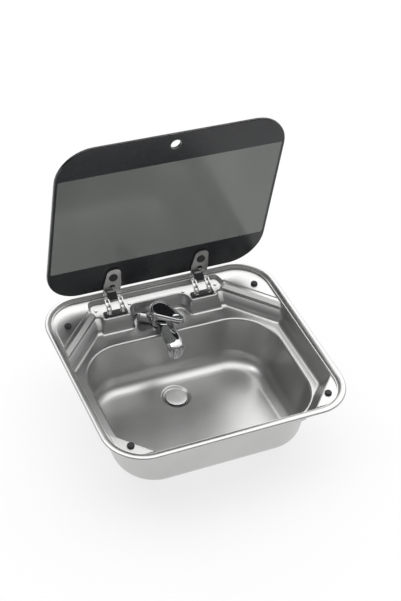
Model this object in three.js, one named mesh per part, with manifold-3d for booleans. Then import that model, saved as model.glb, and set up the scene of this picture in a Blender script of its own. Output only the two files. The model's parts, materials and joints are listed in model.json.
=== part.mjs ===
// Built-in kitchen sink for a motorhome, with a glass lid on two link hinges and a single-lever tap.
// Millimetres, +Z up, +Y to the back (hinge side). The origin is the middle of the rim, on the worktop surface.
import * as THREE from 'three';
import { mergeVertices } from 'three/addons/utils/BufferGeometryUtils.js';
import Module from 'manifold-3d';

const wasm = await Module();
wasm.setup();

// ---------------------------------------------------------------- driving dimensions
const GAP = 0.3;                  // air left between two pieces that touch
const SHEET = 1.0;                // pressed steel thickness

const RIM_WIDTH = 420;            // outside of the rolled rim, along X
const RIM_DEPTH = 370;            // outside of the rolled rim, along Y
const RIM_RADIUS = 67;            // plan radius of the rim's outer corners
const RIM_CROWN = 3.2;            // crown of the rolled rim above the worktop
const RIM_LIP = 0.3;              // outer edge of the roll above the worktop
const RIM_SIDE = 12;              // width of the roll at the sides
const RIM_FRONT = 13;             // width of the roll at the front
const RIM_BACK = 7;               // width of the roll at the back
const RECESS_RADIUS = 56;         // plan radius inside the roll
const FLANGE_DROP = 2.2;          // lid recess below the worktop
const CREASE = 1.5;               // width of the flat between the roll and the lands
const LAND_DROP = 2.8;            // corner lands below the worktop
const LAND_EDGE = 1.6;            // radius rolled over a land's straight edge
const SEAL_OUTER = 0.85;          // sealing strip across the roll: 0 at its inner edge, 1 at its outer
const SEAL_INNER = 0.6;
const SEAL_THICK = 0.85;

const DECK_DROP = 12.5;           // hinge deck below the worktop
const DECK_INSET = 20.5;          // deck's back wall in from the rim's back
const DECK_FILLET = 3;
const FRONT_CUT = 88.5;           // front lands: |x| + |y| of the straight edge, short of the rim's square corner
const BACK_CUT = 116.7;           // the same for the back lands
const CHORD_RADIUS = 7;           // plan radius where a straight edge meets a side

const LEDGE_DROP = 35;            // ledge round the bowl below the worktop
const LEDGE_FILLET = 7;
const SIDE_LEAN = 7;              // run-in of the side and front walls, from land to ledge
const FRONT_CORNER_LEAN = 12;     // run-in of the walls under the front lands
const BACK_CORNER_LEAN = 18;      // run-in of the walls under the back lands
const DECK_EDGE = 4;              // radius rolled over the deck's front edge
const BOSS_INSET = 34.5;          // front edge of the hinge bosses, from the deck's back wall
const BOSS_LEAN = 8;              // run-in of a boss front, from deck to ledge
const BOSS_HALF = 26;             // half width of a hinge boss
const BOSS_SPREAD = 0.35;         // how much of that run-in a boss side has
const BOSS_STEP = 12;             // how far the deck edge falls back outside a boss
const BOSS_RADIUS = 6.5;
const POCKET_RADIUS = 6;          // plan radius between a boss and the corner wall
const POCKET_FLAT = 7;            // least width of the pocket's back
const SCOOP_INSET = 11;           // back of the tap scoop, from the deck's back wall
const SCOOP_RADIUS = 17;

const BOWL_SIDE = 39;             // bowl mouth in from the rim's sides
const BOWL_FRONT_INSET = 34;      // and from its front
const BOWL_BACK_INSET = 75;       // and from the deck's back wall
const BOWL_RADIUS = 74;
const BOWL_LIP = 4.5;             // radius rolled from the ledge into the bowl
const BOWL_FLOOR = 126;           // bowl floor below the worktop
const BOWL_TAPER = 6;             // run-in of the bowl walls, from mouth to floor
const BOWL_FILLET = 30;           // radius between bowl wall and floor

const DRAIN_INSET = 61.5;         // drain's middle from the bowl's back wall
const DISH_RADIUS = 26.5;         // pressed dish round the drain
const DISH_FLAT = 20;             // flat bottom of the dish
const DISH_DEPTH = 3.5;
const DRAIN_RADIUS = 15;          // hole through the dish
const PLUG_RADIUS = 18.5;
const PLUG_THICK = 1.6;
const PLUG_SEAL_THICK = 1.2;
const PLUG_SEAL_LIP = 0.7;        // seal showing round the plug

const BUMPER_SIDE = 39;           // bumpers in from the rim's sides
const BUMPER_FRONT = 38.5;        // and from its front
const BUMPER_BACK = 58.5;         // and from its back
const BUMPER_RADIUS = 6;
const BUMPER_HEAD = 1.8;          // straight edge of a bumper's head
const BUMPER_STEM = 2.4;
const BUMPER_BARB = 3.8;
const BUMPER_TAIL = 3.6;          // barb below the land

const GLASS_SIDE = 14;            // shut lid in from the rim's sides
const GLASS_FRONT = 15.3;         // and from its front
const GLASS_THICK = 5;
const GLASS_RADIUS = 60;
const GLASS_EDGE = 0.8;           // ground bevel all round
const FINGER_RADIUS = 9;          // finger hole near the free edge
const FINGER_INSET = 21;          // its centre from that edge

const SHUT_INSET = 16.2;          // lid's hinged edge when shut, from the deck's back wall
const SHUT_LIFT = 1.5;            // underside of the shut lid above the worktop
const OPEN_BEHIND = 3.5;          // the same edge, inner face, when open: behind the deck's back wall
const OPEN_Z = 20;                // and above the worktop
const OPEN_TURN = 86;             // degrees from shut to open

const HINGE_X = 80;               // middle of each hinge
const PIVOT_INSET = 23;           // lower pivot of the links, from the deck's back wall
const PIVOT_LIFT = 8;             // lower pivot above the deck
const LINK_POLE = 12;             // upper pivot from the point the lid turns about
const LINK_BOW = 1.4;             // how far a link bows away from its straight line
const LINK_HALF = 2.3;            // half width of a link, and the radius of its eyes
const LINK_THICK = 1.6;           // each of a link's two cheeks
const LINK_SPAN = 7.8;            // across both cheeks
const LINK_WEB = 1.1;             // web that joins the cheeks
const BLOCK_HALF = 7.7;           // half width of the block on the upper axle, between the links
const PIN_RADIUS = 1.3;
const PIN_HEAD = 2.2;
const PIN_HEAD_THICK = 0.8;
const BASE_HALF = 21;
const BASE_FRONT = 5.5;           // base in front of the lower pivot
const BASE_BACK = 7;              // base behind the lower pivot
const BASE_THICK = 1.8;
const BASE_RADIUS = 3;
const PEG_SPREAD = 12;            // pegs of the base through the deck
const PEG_RADIUS = 2.4;
const PEG_BARB = 3.4;
const PEG_TAIL = 4;
const FOOT_THICK = 1.2;           // steel foot under each lower ear
const FOOT_FRONT = 4.2;           // foot in front of the lower pivot
const FOOT_BACK = 2.4;            // and behind it
const RIVET_SPREAD = 30.2;        // deck rivets either side of the hinge's middle
const RIVET_INSET = 8.5;          // from the deck's back wall
const RIVET_RADIUS = 2;
const RIVET_HEAD = 3.2;
const RIVET_HEAD_THICK = 1.3;

const TONGUE_HALF = 15.5;         // lid bracket on the glass, at its low end
const TONGUE_TIP_HALF = 11.5;     // and at its top
const TONGUE_RADIUS = 10.5;
const TONGUE_LOW = 13;            // from the lid's hinged edge
const TONGUE_TOP = 48;
const BRACKET_THICK = 1.5;
const ARCH_RADIUS = 5.5;          // arched hole above the lid's hinged edge
const ARCH_AT = 7;                // flat side of that hole, from the edge
const CROSS_TOP = 19;             // wide part of the bracket, from the lid's hinged edge
const CROSS_RUN = 1.2;            // how far it runs past that edge
const CROSS_RADIUS = 2.5;
const PAD_THICK = 1;
const PAD_MARGIN = 0.7;           // pad showing round the tongue
const LID_SCREW_AT = 29;          // from the lid's hinged edge
const LID_SCREW_RADIUS = 2.5;
const LID_CAP = 7.6;
const LID_CAP_THICK = 2.2;
const LID_NUT = 8;
const LID_NUT_THICK = 3.4;
const GLASS_HOLE = 4;

const TAP_X = -7;
const TAP_INSET = 43.5;           // tap's axis from the deck's back wall
const TAP_TOP = 2.2;              // top of the lever cap below the worktop
const TAP_SEAL_THICK = 1;
const TAP_RADIUS = 16.5;
const TAP_SHOULDER = 24;          // spout turns on this shoulder, below the worktop
const NECK_RADIUS = 9.5;
const NECK_TOP = 11.3;            // top of the neck below the worktop
const STEM_RADIUS = 11;
const STEM_BORE = 9.8;
const STEM_HOLE_PLAY = 1;
const STEM_DROP = 30;             // threaded stem below the ledge
const STEM_SOCKET = 4;            // stem inside the tap body
const NUT_RADIUS = 18;
const NUT_THICK = 7;
const WASHER_RADIUS = 15.5;
const WASHER_THICK = 2;
const INLET_RADIUS = 4;
const INLET_SPREAD = 5.5;
const INLET_TOP = 48;             // below the worktop
const INLET_END = 104;
const INLET_COLLAR = 5;           // radius of the end collar
const INLET_COLLAR_TALL = 10;
const SPOUT_RING = 15.4;
const SPOUT_RING_TOP = 15.6;      // below the worktop
const SPOUT_REACH = 77;
const SPOUT_HALF_ROOT = 12;
const SPOUT_HALF_TIP = 13;
const SPOUT_TOP = 15.8;           // ridge of the spout below the worktop
const SPOUT_THICK = 8.6;          // at its root
const SPOUT_DEEPER = 3.6;         // how much thicker it is over the nozzle
const NOZZLE_AT = 68;             // nozzle from the tap's axis
const NOZZLE_RADIUS = 9.5;        // at its end
const NOZZLE_TOP_RADIUS = 11.5;
const NOZZLE_END = 48;            // below the worktop
const NOZZLE_FLUTES = 12;
const NOZZLE_SOCKET = 4;
const AERATOR_RADIUS = 7.6;
const AERATOR_SHOW = 1.2;
const ARM_REACH = 38;             // low side arm of the tap body
const ARM_TURN = 111;             // degrees left of the front
const ARM_ROOT_HALF = 8;
const ARM_TIP_HALF = 6;
const CAP_RADIUS = 17.5;
const CAP_LOW = 14.4;             // rim of the lever cap below the worktop
const CAP_HOLLOW = 14;
const CARRIER_THICK = 2.4;        // turning disc under the cap
const LEVER_REACH = 44.5;
const LEVER_TURN = 38;            // degrees right of the front
const LEVER_TIP = 6.5;            // radius of the lever's tip
const LEVER_THICK = 5;
const LEVER_SLOPE = 3.4;          // degrees the lever falls toward its tip
const LEVER_TOP = 3.6;            // its top at the tap's axis, below the worktop
const DIMPLE_AT = 30;
const DIMPLE_HALF = 7.5;
const DIMPLE_DEPTH = 1.6;

// ---------------------------------------------------------------- places that follow from the rim
const deckBack = RIM_DEPTH / 2 - DECK_INSET;
const frontChord = RIM_WIDTH / 2 + RIM_DEPTH / 2 - FRONT_CUT;
const backChord = RIM_WIDTH / 2 + RIM_DEPTH / 2 - BACK_CUT;
const bossFront = deckBack - BOSS_INSET;
const scoopBack = deckBack - SCOOP_INSET;
const bowlHalf = RIM_WIDTH / 2 - BOWL_SIDE;
const bowlFront = -RIM_DEPTH / 2 + BOWL_FRONT_INSET;
const bowlBack = deckBack - BOWL_BACK_INSET;
const drain = { x: TAP_X, y: bowlBack - DRAIN_INSET };
const pivotY = deckBack - PIVOT_INSET;
const rivetY = deckBack - RIVET_INSET;
const shutBack = deckBack - SHUT_INSET;
const glassHalf = RIM_WIDTH / 2 - GLASS_SIDE;
const glassLength = shutBack + RIM_DEPTH / 2 - GLASS_FRONT;
const tapY = deckBack - TAP_INSET;

// ---------------------------------------------------------------- finishes
function finish(color, roughness, metalness, opacity = 1) {
  return new THREE.MeshStandardMaterial({ color, roughness, metalness, opacity, transparent: opacity < 1 });
}
const BRUSHED = () => finish(0xb4b4b0, 0.38, 1);
const BRIGHT = () => finish(0xd8d8d8, 0.12, 1);
const BLACK_PLASTIC = () => finish(0x1c1c1e, 0.5, 0);
const RUBBER = () => finish(0x202022, 0.85, 0);
const SMOKED_GLASS = () => finish(0x3c4140, 0.06, 0, 0.75);
const BRASS = () => finish(0xb08d4a, 0.35, 1);

// ---------------------------------------------------------------- solid helpers
function solidOf(geometry) {
  const bare = geometry.clone();
  bare.deleteAttribute('normal');
  bare.deleteAttribute('uv');
  const merged = mergeVertices(bare, 1e-4);
  return new wasm.Manifold(new wasm.Mesh({
    numProp: 3,
    vertProperties: new Float32Array(merged.attributes.position.array),
    triVerts: new Uint32Array(merged.index.array),
  }));
}

function geometryOf(solid) {
  const mesh = solid.getMesh();
  const geometry = new THREE.BufferGeometry();
  geometry.setAttribute('position', new THREE.BufferAttribute(new Float32Array(mesh.vertProperties), 3));
  geometry.setIndex(new THREE.BufferAttribute(new Uint32Array(mesh.triVerts), 1));
  return geometry;
}

function addPiece(parent, name, solid, material) {
  const mesh = new THREE.Mesh(geometryOf(solid), material);
  mesh.name = name;
  parent.add(mesh);
  return mesh;
}

function moved(solid, x, y, z) {
  return solid.translate([x, y, z]);
}

function cylinder(radius, low, high, segments = 32, topRadius = radius) {
  const geometry = new THREE.CylinderGeometry(topRadius, radius, high - low, segments);
  geometry.rotateX(Math.PI / 2);
  geometry.translate(0, 0, (low + high) / 2);
  return solidOf(geometry);
}

// Cylinder along X from x = low to x = high.
function rod(radius, low, high, y, z, segments = 12) {
  const geometry = new THREE.CylinderGeometry(radius, radius, high - low, segments);
  geometry.rotateZ(-Math.PI / 2);
  geometry.translate((low + high) / 2, y, z);
  return solidOf(geometry);
}

function box(x0, x1, y0, y1, z0, z1) {
  const geometry = new THREE.BoxGeometry(x1 - x0, y1 - y0, z1 - z0);
  geometry.translate((x0 + x1) / 2, (y0 + y1) / 2, (z0 + z1) / 2);
  return solidOf(geometry);
}

// Body of revolution about Z from [radius, z] pairs that start and end on the axis.
function turned(profile, segments = 40) {
  const points = profile.map(([r, z]) => new THREE.Vector2(r, z));
  const geometry = new THREE.LatheGeometry(points, segments);
  geometry.rotateX(Math.PI / 2);
  const solid = solidOf(geometry);
  if (solid.volume() > 0) return solid;
  return solidOf(flipped(geometry));
}

function flipped(geometry) {
  const index = geometry.index.array;
  for (let i = 0; i < index.length; i += 3) {
    const keep = index[i];
    index[i] = index[i + 1];
    index[i + 1] = keep;
  }
  return geometry;
}

// A flat outline extruded along Z.
function prism(outline, low, high) {
  const geometry = new THREE.ExtrudeGeometry(new THREE.Shape(outline), {
    depth: high - low, bevelEnabled: false, curveSegments: 16,
  });
  geometry.translate(0, 0, low);
  return solidOf(geometry);
}

// A flat outline in (y, z) extruded along X.
function sidePrism(outline, low, high) {
  const geometry = new THREE.ExtrudeGeometry(new THREE.Shape(outline), {
    depth: high - low, bevelEnabled: false, curveSegments: 16,
  });
  geometry.translate(0, 0, low);
  geometry.applyMatrix4(new THREE.Matrix4().set(0, 0, 1, 0, 1, 0, 0, 0, 0, 1, 0, 0, 0, 0, 0, 1));
  return solidOf(geometry);
}

// Rounds each corner {x, y, r} of a counter-clockwise outline with the same number of points.
// Two roundings that would meet on a short side are both made smaller.
function roundedOutline(corners, steps = 5) {
  const spots = corners.map((corner) => new THREE.Vector2(corner.x, corner.y));
  const count = corners.length;
  const toward = (i, j) => spots[j].clone().sub(spots[i]).normalize();
  const halves = spots.map((spot, i) => {
    const cosine = toward(i, (i + count - 1) % count).dot(toward(i, (i + 1) % count));
    return Math.acos(THREE.MathUtils.clamp(cosine, -1, 1)) / 2;
  });
  const wanted = corners.map((corner, i) => corner.r / Math.tan(halves[i]));
  const room = (i, j) => Math.min(1, (0.96 * spots[i].distanceTo(spots[j])) / (wanted[i] + wanted[j]));
  const points = [];
  corners.forEach((corner, i) => {
    const before = (i + count - 1) % count;
    const after = (i + 1) % count;
    const scale = Math.min(room(i, before), room(i, after));
    const radius = corner.r * scale;
    const cut = wanted[i] * scale;
    const here = spots[i];
    const toBefore = toward(i, before);
    const toAfter = toward(i, after);
    const middle = toBefore.clone().add(toAfter).normalize();
    const centre = here.clone().addScaledVector(middle, radius / Math.sin(halves[i]));
    const start = here.clone().addScaledVector(toBefore, cut).sub(centre);
    const end = here.clone().addScaledVector(toAfter, cut).sub(centre);
    const first = start.angle();
    let sweep = end.angle() - first;
    if (sweep > Math.PI) sweep -= 2 * Math.PI;
    if (sweep < -Math.PI) sweep += 2 * Math.PI;
    for (let k = 0; k <= steps; k += 1) {
      const angle = first + (sweep * k) / steps;
      points.push(new THREE.Vector2(centre.x + radius * Math.cos(angle), centre.y + radius * Math.sin(angle)));
    }
  });
  return points;
}

// Moves every side of a counter-clockwise outline outwards, keeping its roundings concentric.
function grown(corners, amount) {
  return corners.map((corner, i) => {
    const before = corners[(i + corners.length - 1) % corners.length];
    const after = corners[(i + 1) % corners.length];
    const into = new THREE.Vector2(corner.x - before.x, corner.y - before.y).normalize();
    const out = new THREE.Vector2(after.x - corner.x, after.y - corner.y).normalize();
    const normalIn = new THREE.Vector2(into.y, -into.x);
    const normalOut = new THREE.Vector2(out.y, -out.x);
    const mitre = normalIn.clone().add(normalOut);
    mitre.multiplyScalar(amount / (1 + normalIn.dot(normalOut)));
    const turn = Math.sign(into.cross(out));
    return { x: corner.x + mitre.x, y: corner.y + mitre.y, r: Math.max(corner.r + turn * amount, 0.4) };
  });
}

// Closed body through rings of equal point count, from the lowest ring to the highest.
function loft(rings) {
  const count = rings[0].length;
  const positions = rings.flat().flatMap((p) => [p.x, p.y, p.z]);
  const index = [];
  for (let r = 0; r + 1 < rings.length; r += 1) {
    for (let i = 0; i < count; i += 1) {
      const a = r * count + i;
      const b = r * count + ((i + 1) % count);
      index.push(a, b, b + count, a, b + count, a + count);
    }
  }
  const cap = (ring, base, up) => {
    const flat = ring.map((p) => new THREE.Vector2(p.x, p.y));
    THREE.ShapeUtils.triangulateShape(flat, []).forEach(([a, b, c]) => {
      if (up) index.push(base + a, base + b, base + c);
      else index.push(base + a, base + c, base + b);
    });
  };
  cap(rings[0], 0, false);
  cap(rings[rings.length - 1], (rings.length - 1) * count, true);
  const geometry = new THREE.BufferGeometry();
  geometry.setAttribute('position', new THREE.Float32BufferAttribute(positions, 3));
  geometry.setIndex(index);
  return solidOf(geometry);
}

function ringAt(corners, z, steps) {
  return roundedOutline(corners, steps).map((p) => new THREE.Vector3(p.x, p.y, z));
}

// Ring-shaped body: rings follow a closed section round the part.
function hoop(rings) {
  const count = rings[0].length;
  const positions = rings.flat().flatMap((p) => [p.x, p.y, p.z]);
  const index = [];
  rings.forEach((ring, r) => {
    const next = (r + 1) % rings.length;
    for (let i = 0; i < count; i += 1) {
      const j = (i + 1) % count;
      index.push(r * count + i, r * count + j, next * count + j);
      index.push(r * count + i, next * count + j, next * count + i);
    }
  });
  const geometry = new THREE.BufferGeometry();
  geometry.setAttribute('position', new THREE.Float32BufferAttribute(positions, 3));
  geometry.setIndex(index);
  const solid = solidOf(geometry);
  return solid.volume() > 0 ? solid : solidOf(flipped(geometry));
}

const lerp = THREE.MathUtils.lerp;
const radians = THREE.MathUtils.degToRad;
const mirrored = (half) => [...half, ...half.map((c) => ({ ...c, x: -c.x })).reverse()];

// ---------------------------------------------------------------- sink outlines
function rectangle(halfWidth, front, back, radius) {
  return [
    { x: -halfWidth, y: front, r: radius },
    { x: halfWidth, y: front, r: radius },
    { x: halfWidth, y: back, r: radius },
    { x: -halfWidth, y: back, r: radius },
  ];
}

// Plan of the rolled rim: 0 is its inner edge, 1 its outer edge.
function rimOutline(across) {
  return rectangle(
    RIM_WIDTH / 2 - RIM_SIDE * (1 - across),
    -RIM_DEPTH / 2 + RIM_FRONT * (1 - across),
    RIM_DEPTH / 2 - RIM_BACK * (1 - across),
    lerp(RECESS_RADIUS, RIM_RADIUS, across),
  );
}

const landHalf = RIM_WIDTH / 2 - RIM_SIDE - CREASE;
const landFront = -RIM_DEPTH / 2 + RIM_FRONT + CREASE;

// How far down the walls a depth lies: 0 at the lands, 1 at the ledge.
const downWall = (drop) => (drop - LAND_DROP) / (LEDGE_DROP - LAND_DROP);

// Shared sides, front and corner walls of the upper cavity at a depth.
function wallsAt(drop, rolled) {
  const down = downWall(drop);
  return {
    side: landHalf - SIDE_LEAN * down,
    front: landFront + SIDE_LEAN * down,
    frontChord: frontChord - Math.SQRT2 * (FRONT_CORNER_LEAN * down - rolled),
    backChord: backChord - Math.SQRT2 * (BACK_CORNER_LEAN * down * down - rolled),
  };
}

// Cavity down to the hinge deck; inset draws the back wall in for its fillet.
function deckOutline(drop, rolled, inset) {
  const w = wallsAt(drop, rolled);
  const back = deckBack + rolled - inset;
  return mirrored([
    { x: w.frontChord + w.front, y: w.front, r: CHORD_RADIUS },
    { x: w.side, y: w.side - w.frontChord, r: CHORD_RADIUS },
    { x: w.side, y: w.backChord - w.side - inset, r: CHORD_RADIUS * 2 },
    { x: w.backChord - back - inset, y: back, r: CHORD_RADIUS * 2 },
  ]);
}

// Cavity down to the ledge, with the two bosses and the tap scoop along its back.
function ledgeOutline(drop, rolled, inset) {
  const w = wallsAt(drop, 0);
  const down = (drop - DECK_DROP) / (LEDGE_DROP - DECK_DROP);
  const run = BOSS_LEAN * down + inset - rolled;
  const boss = bossFront - run;
  const scoop = scoopBack - run;
  const bossOuter = HINGE_X + BOSS_HALF + run * BOSS_SPREAD;
  const bossInner = HINGE_X - BOSS_HALF - run * BOSS_SPREAD;
  const cornerWall = w.backChord - inset * Math.SQRT2;
  const outside = Math.min(bossFront + BOSS_STEP - run, cornerWall - bossOuter - POCKET_FLAT);
  return mirrored([
    { x: w.frontChord + w.front - inset * 0.4, y: w.front + inset, r: CHORD_RADIUS },
    { x: w.side - inset, y: w.side - w.frontChord + inset * 0.4, r: CHORD_RADIUS },
    { x: w.side - inset, y: w.backChord - w.side - inset * 0.4, r: CHORD_RADIUS * 2 },
    { x: cornerWall - outside, y: outside, r: POCKET_RADIUS },
    { x: bossOuter, y: outside, r: POCKET_RADIUS },
    { x: bossOuter, y: boss, r: BOSS_RADIUS },
    { x: bossInner, y: boss, r: BOSS_RADIUS + inset - rolled },
    { x: bossInner, y: scoop, r: SCOOP_RADIUS - inset + rolled },
  ]);
}

function bowlOutline(inset) {
  return rectangle(bowlHalf - inset, bowlFront + inset, bowlBack - inset, BOWL_RADIUS - inset);
}

const ABOVE = 12;                 // cutting bodies run this far above the worktop
const COARSE = [0, 45, 90];       // steps of a small rolled edge or fillet, degrees
const FINE = [0, 30, 60, 90];     // steps of a large one

// The space inside the pressing. thick grows it to the outside of the sheet.
function pressedSpace(thick) {
  const ring = (corners, drop, steps) => ringAt(grown(corners, thick), -drop - thick, steps);
  const top = (corners, steps) => ringAt(grown(corners, thick), ABOVE, steps);
  const recess = rimOutline(0);
  const recessSpace = loft([ring(recess, FLANGE_DROP, 8), top(recess, 8)]);
  const land = rectangle(landHalf, landFront, deckBack + LAND_EDGE, RECESS_RADIUS - CREASE);
  const landSpace = loft([ring(land, LAND_DROP, 8), top(land, 8)]);

  const deckRings = COARSE.map((a) => {
    const inset = DECK_FILLET * (1 - Math.sin(radians(a)));
    return ring(deckOutline(DECK_DROP, 0, inset), DECK_DROP - DECK_FILLET * (1 - Math.cos(radians(a))), 3);
  });
  const landRoll = COARSE.map((a) => {
    const rolled = LAND_EDGE * (1 - Math.cos(radians(a)));
    return ring(deckOutline(LAND_DROP, rolled, 0), LAND_DROP + LAND_EDGE * (1 - Math.sin(radians(a))), 3);
  });
  const deckSpace = loft([...deckRings, ...landRoll, top(deckOutline(LAND_DROP, LAND_EDGE, 0), 3)]);

  const ledgeRings = FINE.map((a) => {
    const inset = LEDGE_FILLET * (1 - Math.sin(radians(a)));
    const drop = LEDGE_DROP - LEDGE_FILLET * (1 - Math.cos(radians(a)));
    return ring(ledgeOutline(LEDGE_DROP, 0, inset), drop, 3);
  });
  const deckRoll = COARSE.map((a) => {
    const rolled = DECK_EDGE * (1 - Math.cos(radians(a)));
    return ring(ledgeOutline(DECK_DROP, rolled, 0), DECK_DROP + DECK_EDGE * (1 - Math.sin(radians(a))), 3);
  });
  const ledgeTop = ringAt(grown(ledgeOutline(DECK_DROP, DECK_EDGE, 0), thick), -DECK_DROP + 2, 3);
  const ledgeSpace = loft([...ledgeRings, ...deckRoll, ledgeTop]);

  const bowlRings = FINE.map((a) => {
    const inset = BOWL_TAPER + BOWL_FILLET * (1 - Math.sin(radians(a)));
    return ring(bowlOutline(inset), BOWL_FLOOR - BOWL_FILLET * (1 - Math.cos(radians(a))), 8);
  });
  const lipRings = COARSE.map((a) => {
    const out = BOWL_LIP * (1 - Math.cos(radians(a)));
    return ring(bowlOutline(-out), LEDGE_DROP + BOWL_LIP * (1 - Math.sin(radians(a))), 8);
  });
  const bowlTop = ringAt(grown(bowlOutline(-BOWL_LIP), thick), -LEDGE_DROP + 2, 8);
  const bowlSpace = loft([...bowlRings, ...lipRings, bowlTop]);

  const dish = moved(turned([
    [0, -BOWL_FLOOR - DISH_DEPTH - thick],
    [DISH_FLAT + thick, -BOWL_FLOOR - DISH_DEPTH - thick],
    [lerp(DISH_FLAT, DISH_RADIUS, 0.35) + thick, -BOWL_FLOOR - DISH_DEPTH * 0.8 - thick],
    [lerp(DISH_FLAT, DISH_RADIUS, 0.75) + thick, -BOWL_FLOOR - DISH_DEPTH * 0.2 - thick],
    [DISH_RADIUS + thick, -BOWL_FLOOR - thick],
    [DISH_RADIUS + thick, -BOWL_FLOOR + 2],
    [0, -BOWL_FLOOR + 2],
  ], 48), drain.x, drain.y, 0);
  return recessSpace.add(landSpace).add(deckSpace).add(ledgeSpace).add(bowlSpace).add(dish);
}

// The rolled rim: a half-ellipse of sheet from the recess out to the worktop.
function rolledRim() {
  const steps = 8;
  const baseline = (across) => lerp(-FLANGE_DROP, RIM_LIP, across);
  const rise = RIM_CROWN - baseline(0.5);
  const station = (angle, thick) => {
    const across = 0.5 - (0.5 - thick / RIM_SIDE) * Math.cos(angle);
    const z = baseline(across) + (rise - thick) * Math.sin(angle);
    return ringAt(rimOutline(across), z, 8);
  };
  const rings = [];
  for (let i = 0; i <= steps; i += 1) rings.push(station((Math.PI * i) / steps, 0));
  for (let i = steps; i >= 0; i -= 1) rings.push(station((Math.PI * i) / steps, SHEET));
  return hoop(rings);
}

function drilled(solid, points, radius, low, high) {
  return points.reduce((rest, [x, y]) => rest.subtract(moved(cylinder(radius, low, high, 16), x, y, 0)), solid);
}

const bumperPlaces = [
  ['front_left_bumper', BUMPER_SIDE - RIM_WIDTH / 2, BUMPER_FRONT - RIM_DEPTH / 2],
  ['front_right_bumper', RIM_WIDTH / 2 - BUMPER_SIDE, BUMPER_FRONT - RIM_DEPTH / 2],
  ['back_left_bumper', BUMPER_SIDE - RIM_WIDTH / 2, RIM_DEPTH / 2 - BUMPER_BACK],
  ['back_right_bumper', RIM_WIDTH / 2 - BUMPER_SIDE, RIM_DEPTH / 2 - BUMPER_BACK],
];
const hinges = [['left', -HINGE_X], ['right', HINGE_X]];

function sinkShell() {
  const below = box(-RIM_WIDTH, RIM_WIDTH, -RIM_DEPTH, RIM_DEPTH, -BOWL_FLOOR * 2, -FLANGE_DROP + SHEET / 2);
  let shell = pressedSpace(SHEET).intersect(below).subtract(pressedSpace(0)).add(rolledRim());
  shell = drilled(shell, bumperPlaces.map(([, x, y]) => [x, y]), BUMPER_STEM + GAP, -DECK_DROP, 0);
  const rivets = hinges.flatMap(([, x]) => [[x - RIVET_SPREAD, rivetY], [x + RIVET_SPREAD, rivetY]]);
  shell = drilled(shell, rivets, RIVET_RADIUS + GAP, -DECK_DROP - 3 * SHEET, -DECK_DROP + SHEET);
  const pegs = hinges.flatMap(([, x]) => [[x - PEG_SPREAD, pivotY], [x + PEG_SPREAD, pivotY]]);
  shell = drilled(shell, pegs, PEG_RADIUS + GAP, -DECK_DROP - 3 * SHEET, -DECK_DROP + SHEET);
  const tapHole = STEM_RADIUS + STEM_HOLE_PLAY;
  shell = drilled(shell, [[TAP_X, tapY]], tapHole, -LEDGE_DROP - 3 * SHEET, -LEDGE_DROP + SHEET);
  return drilled(shell, [[drain.x, drain.y]], DRAIN_RADIUS, -BOWL_FLOOR - 3 * DISH_DEPTH, -BOWL_FLOOR);
}

function rimSeal() {
  const low = (across) => ringAt(rimOutline(across), 0, 8);
  const high = (across) => ringAt(rimOutline(across), SEAL_THICK, 8);
  return hoop([low(SEAL_OUTER), high(SEAL_OUTER), high(SEAL_INNER), low(SEAL_INNER)]);
}

function bumper() {
  const seat = -LAND_DROP + GAP;
  const under = -LAND_DROP - SHEET - GAP;
  const top = SHUT_LIFT - GAP;
  return turned([
    [0, under - BUMPER_TAIL],
    [1.2, under - BUMPER_TAIL],
    [BUMPER_BARB, under - 0.8],
    [BUMPER_BARB, under],
    [BUMPER_STEM, under],
    [BUMPER_STEM, seat],
    [BUMPER_RADIUS, seat],
    [BUMPER_RADIUS, seat + BUMPER_HEAD],
    [BUMPER_RADIUS * 0.86, top - 0.5],
    [BUMPER_RADIUS * 0.6, top],
    [0, top],
  ], 14);
}

// ---------------------------------------------------------------- hinge kinematics, in the (y, z) plane
const shutEdge = new THREE.Vector2(shutBack, SHUT_LIFT);
const openEdge = new THREE.Vector2(deckBack + OPEN_BEHIND, OPEN_Z);
const turnHalf = radians(OPEN_TURN) / 2;
const chord = openEdge.clone().sub(shutEdge);
// The point about which the lid's shut and open places are one turn apart.
const pole = shutEdge.clone().add(openEdge).multiplyScalar(0.5)
  .add(new THREE.Vector2(chord.y, -chord.x).multiplyScalar(0.5 / Math.tan(turnHalf)));
const lowerPivot = new THREE.Vector2(pivotY, -DECK_DROP + PIVOT_LIFT);
const towardLower = lowerPivot.clone().sub(pole).angle();
const upperPivotAt = (angle) => new THREE.Vector2(
  pole.x + LINK_POLE * Math.cos(towardLower + angle),
  pole.y + LINK_POLE * Math.sin(towardLower + angle),
);
const upperShut = upperPivotAt(turnHalf);
const upperOpen = upperPivotAt(-turnHalf);

// Swings a body modelled on the shut lid to the open lid.
function swungOpen(solid) {
  return solid.translate([0, -pole.x, -pole.y]).rotate([-OPEN_TURN, 0, 0]).translate([0, pole.x, pole.y]);
}

const onLid = (s) => shutBack - s;  // y of a point of the shut lid, s from its hinged edge
const padTop = SHUT_LIFT - GAP;
const tongueTop = padTop - PAD_THICK - GAP;

// ---------------------------------------------------------------- lid
function glassLid() {
  const free = onLid(glassLength);
  const plan = (inset) => rectangle(glassHalf - inset, free + inset, onLid(0) - inset, GLASS_RADIUS - inset);
  const level = (inset, up) => ringAt(plan(inset), SHUT_LIFT + up, 10);
  let glass = loft([
    level(GLASS_EDGE, 0),
    level(0, GLASS_EDGE),
    level(0, GLASS_THICK - GLASS_EDGE),
    level(GLASS_EDGE, GLASS_THICK),
  ]);
  glass = drilled(glass, [[0, free + FINGER_INSET]], FINGER_RADIUS, 0, 2 * GLASS_THICK);
  return drilled(glass, hinges.map(([, x]) => [x, onLid(LID_SCREW_AT)]), GLASS_HOLE, 0, 2 * GLASS_THICK);
}

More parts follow.
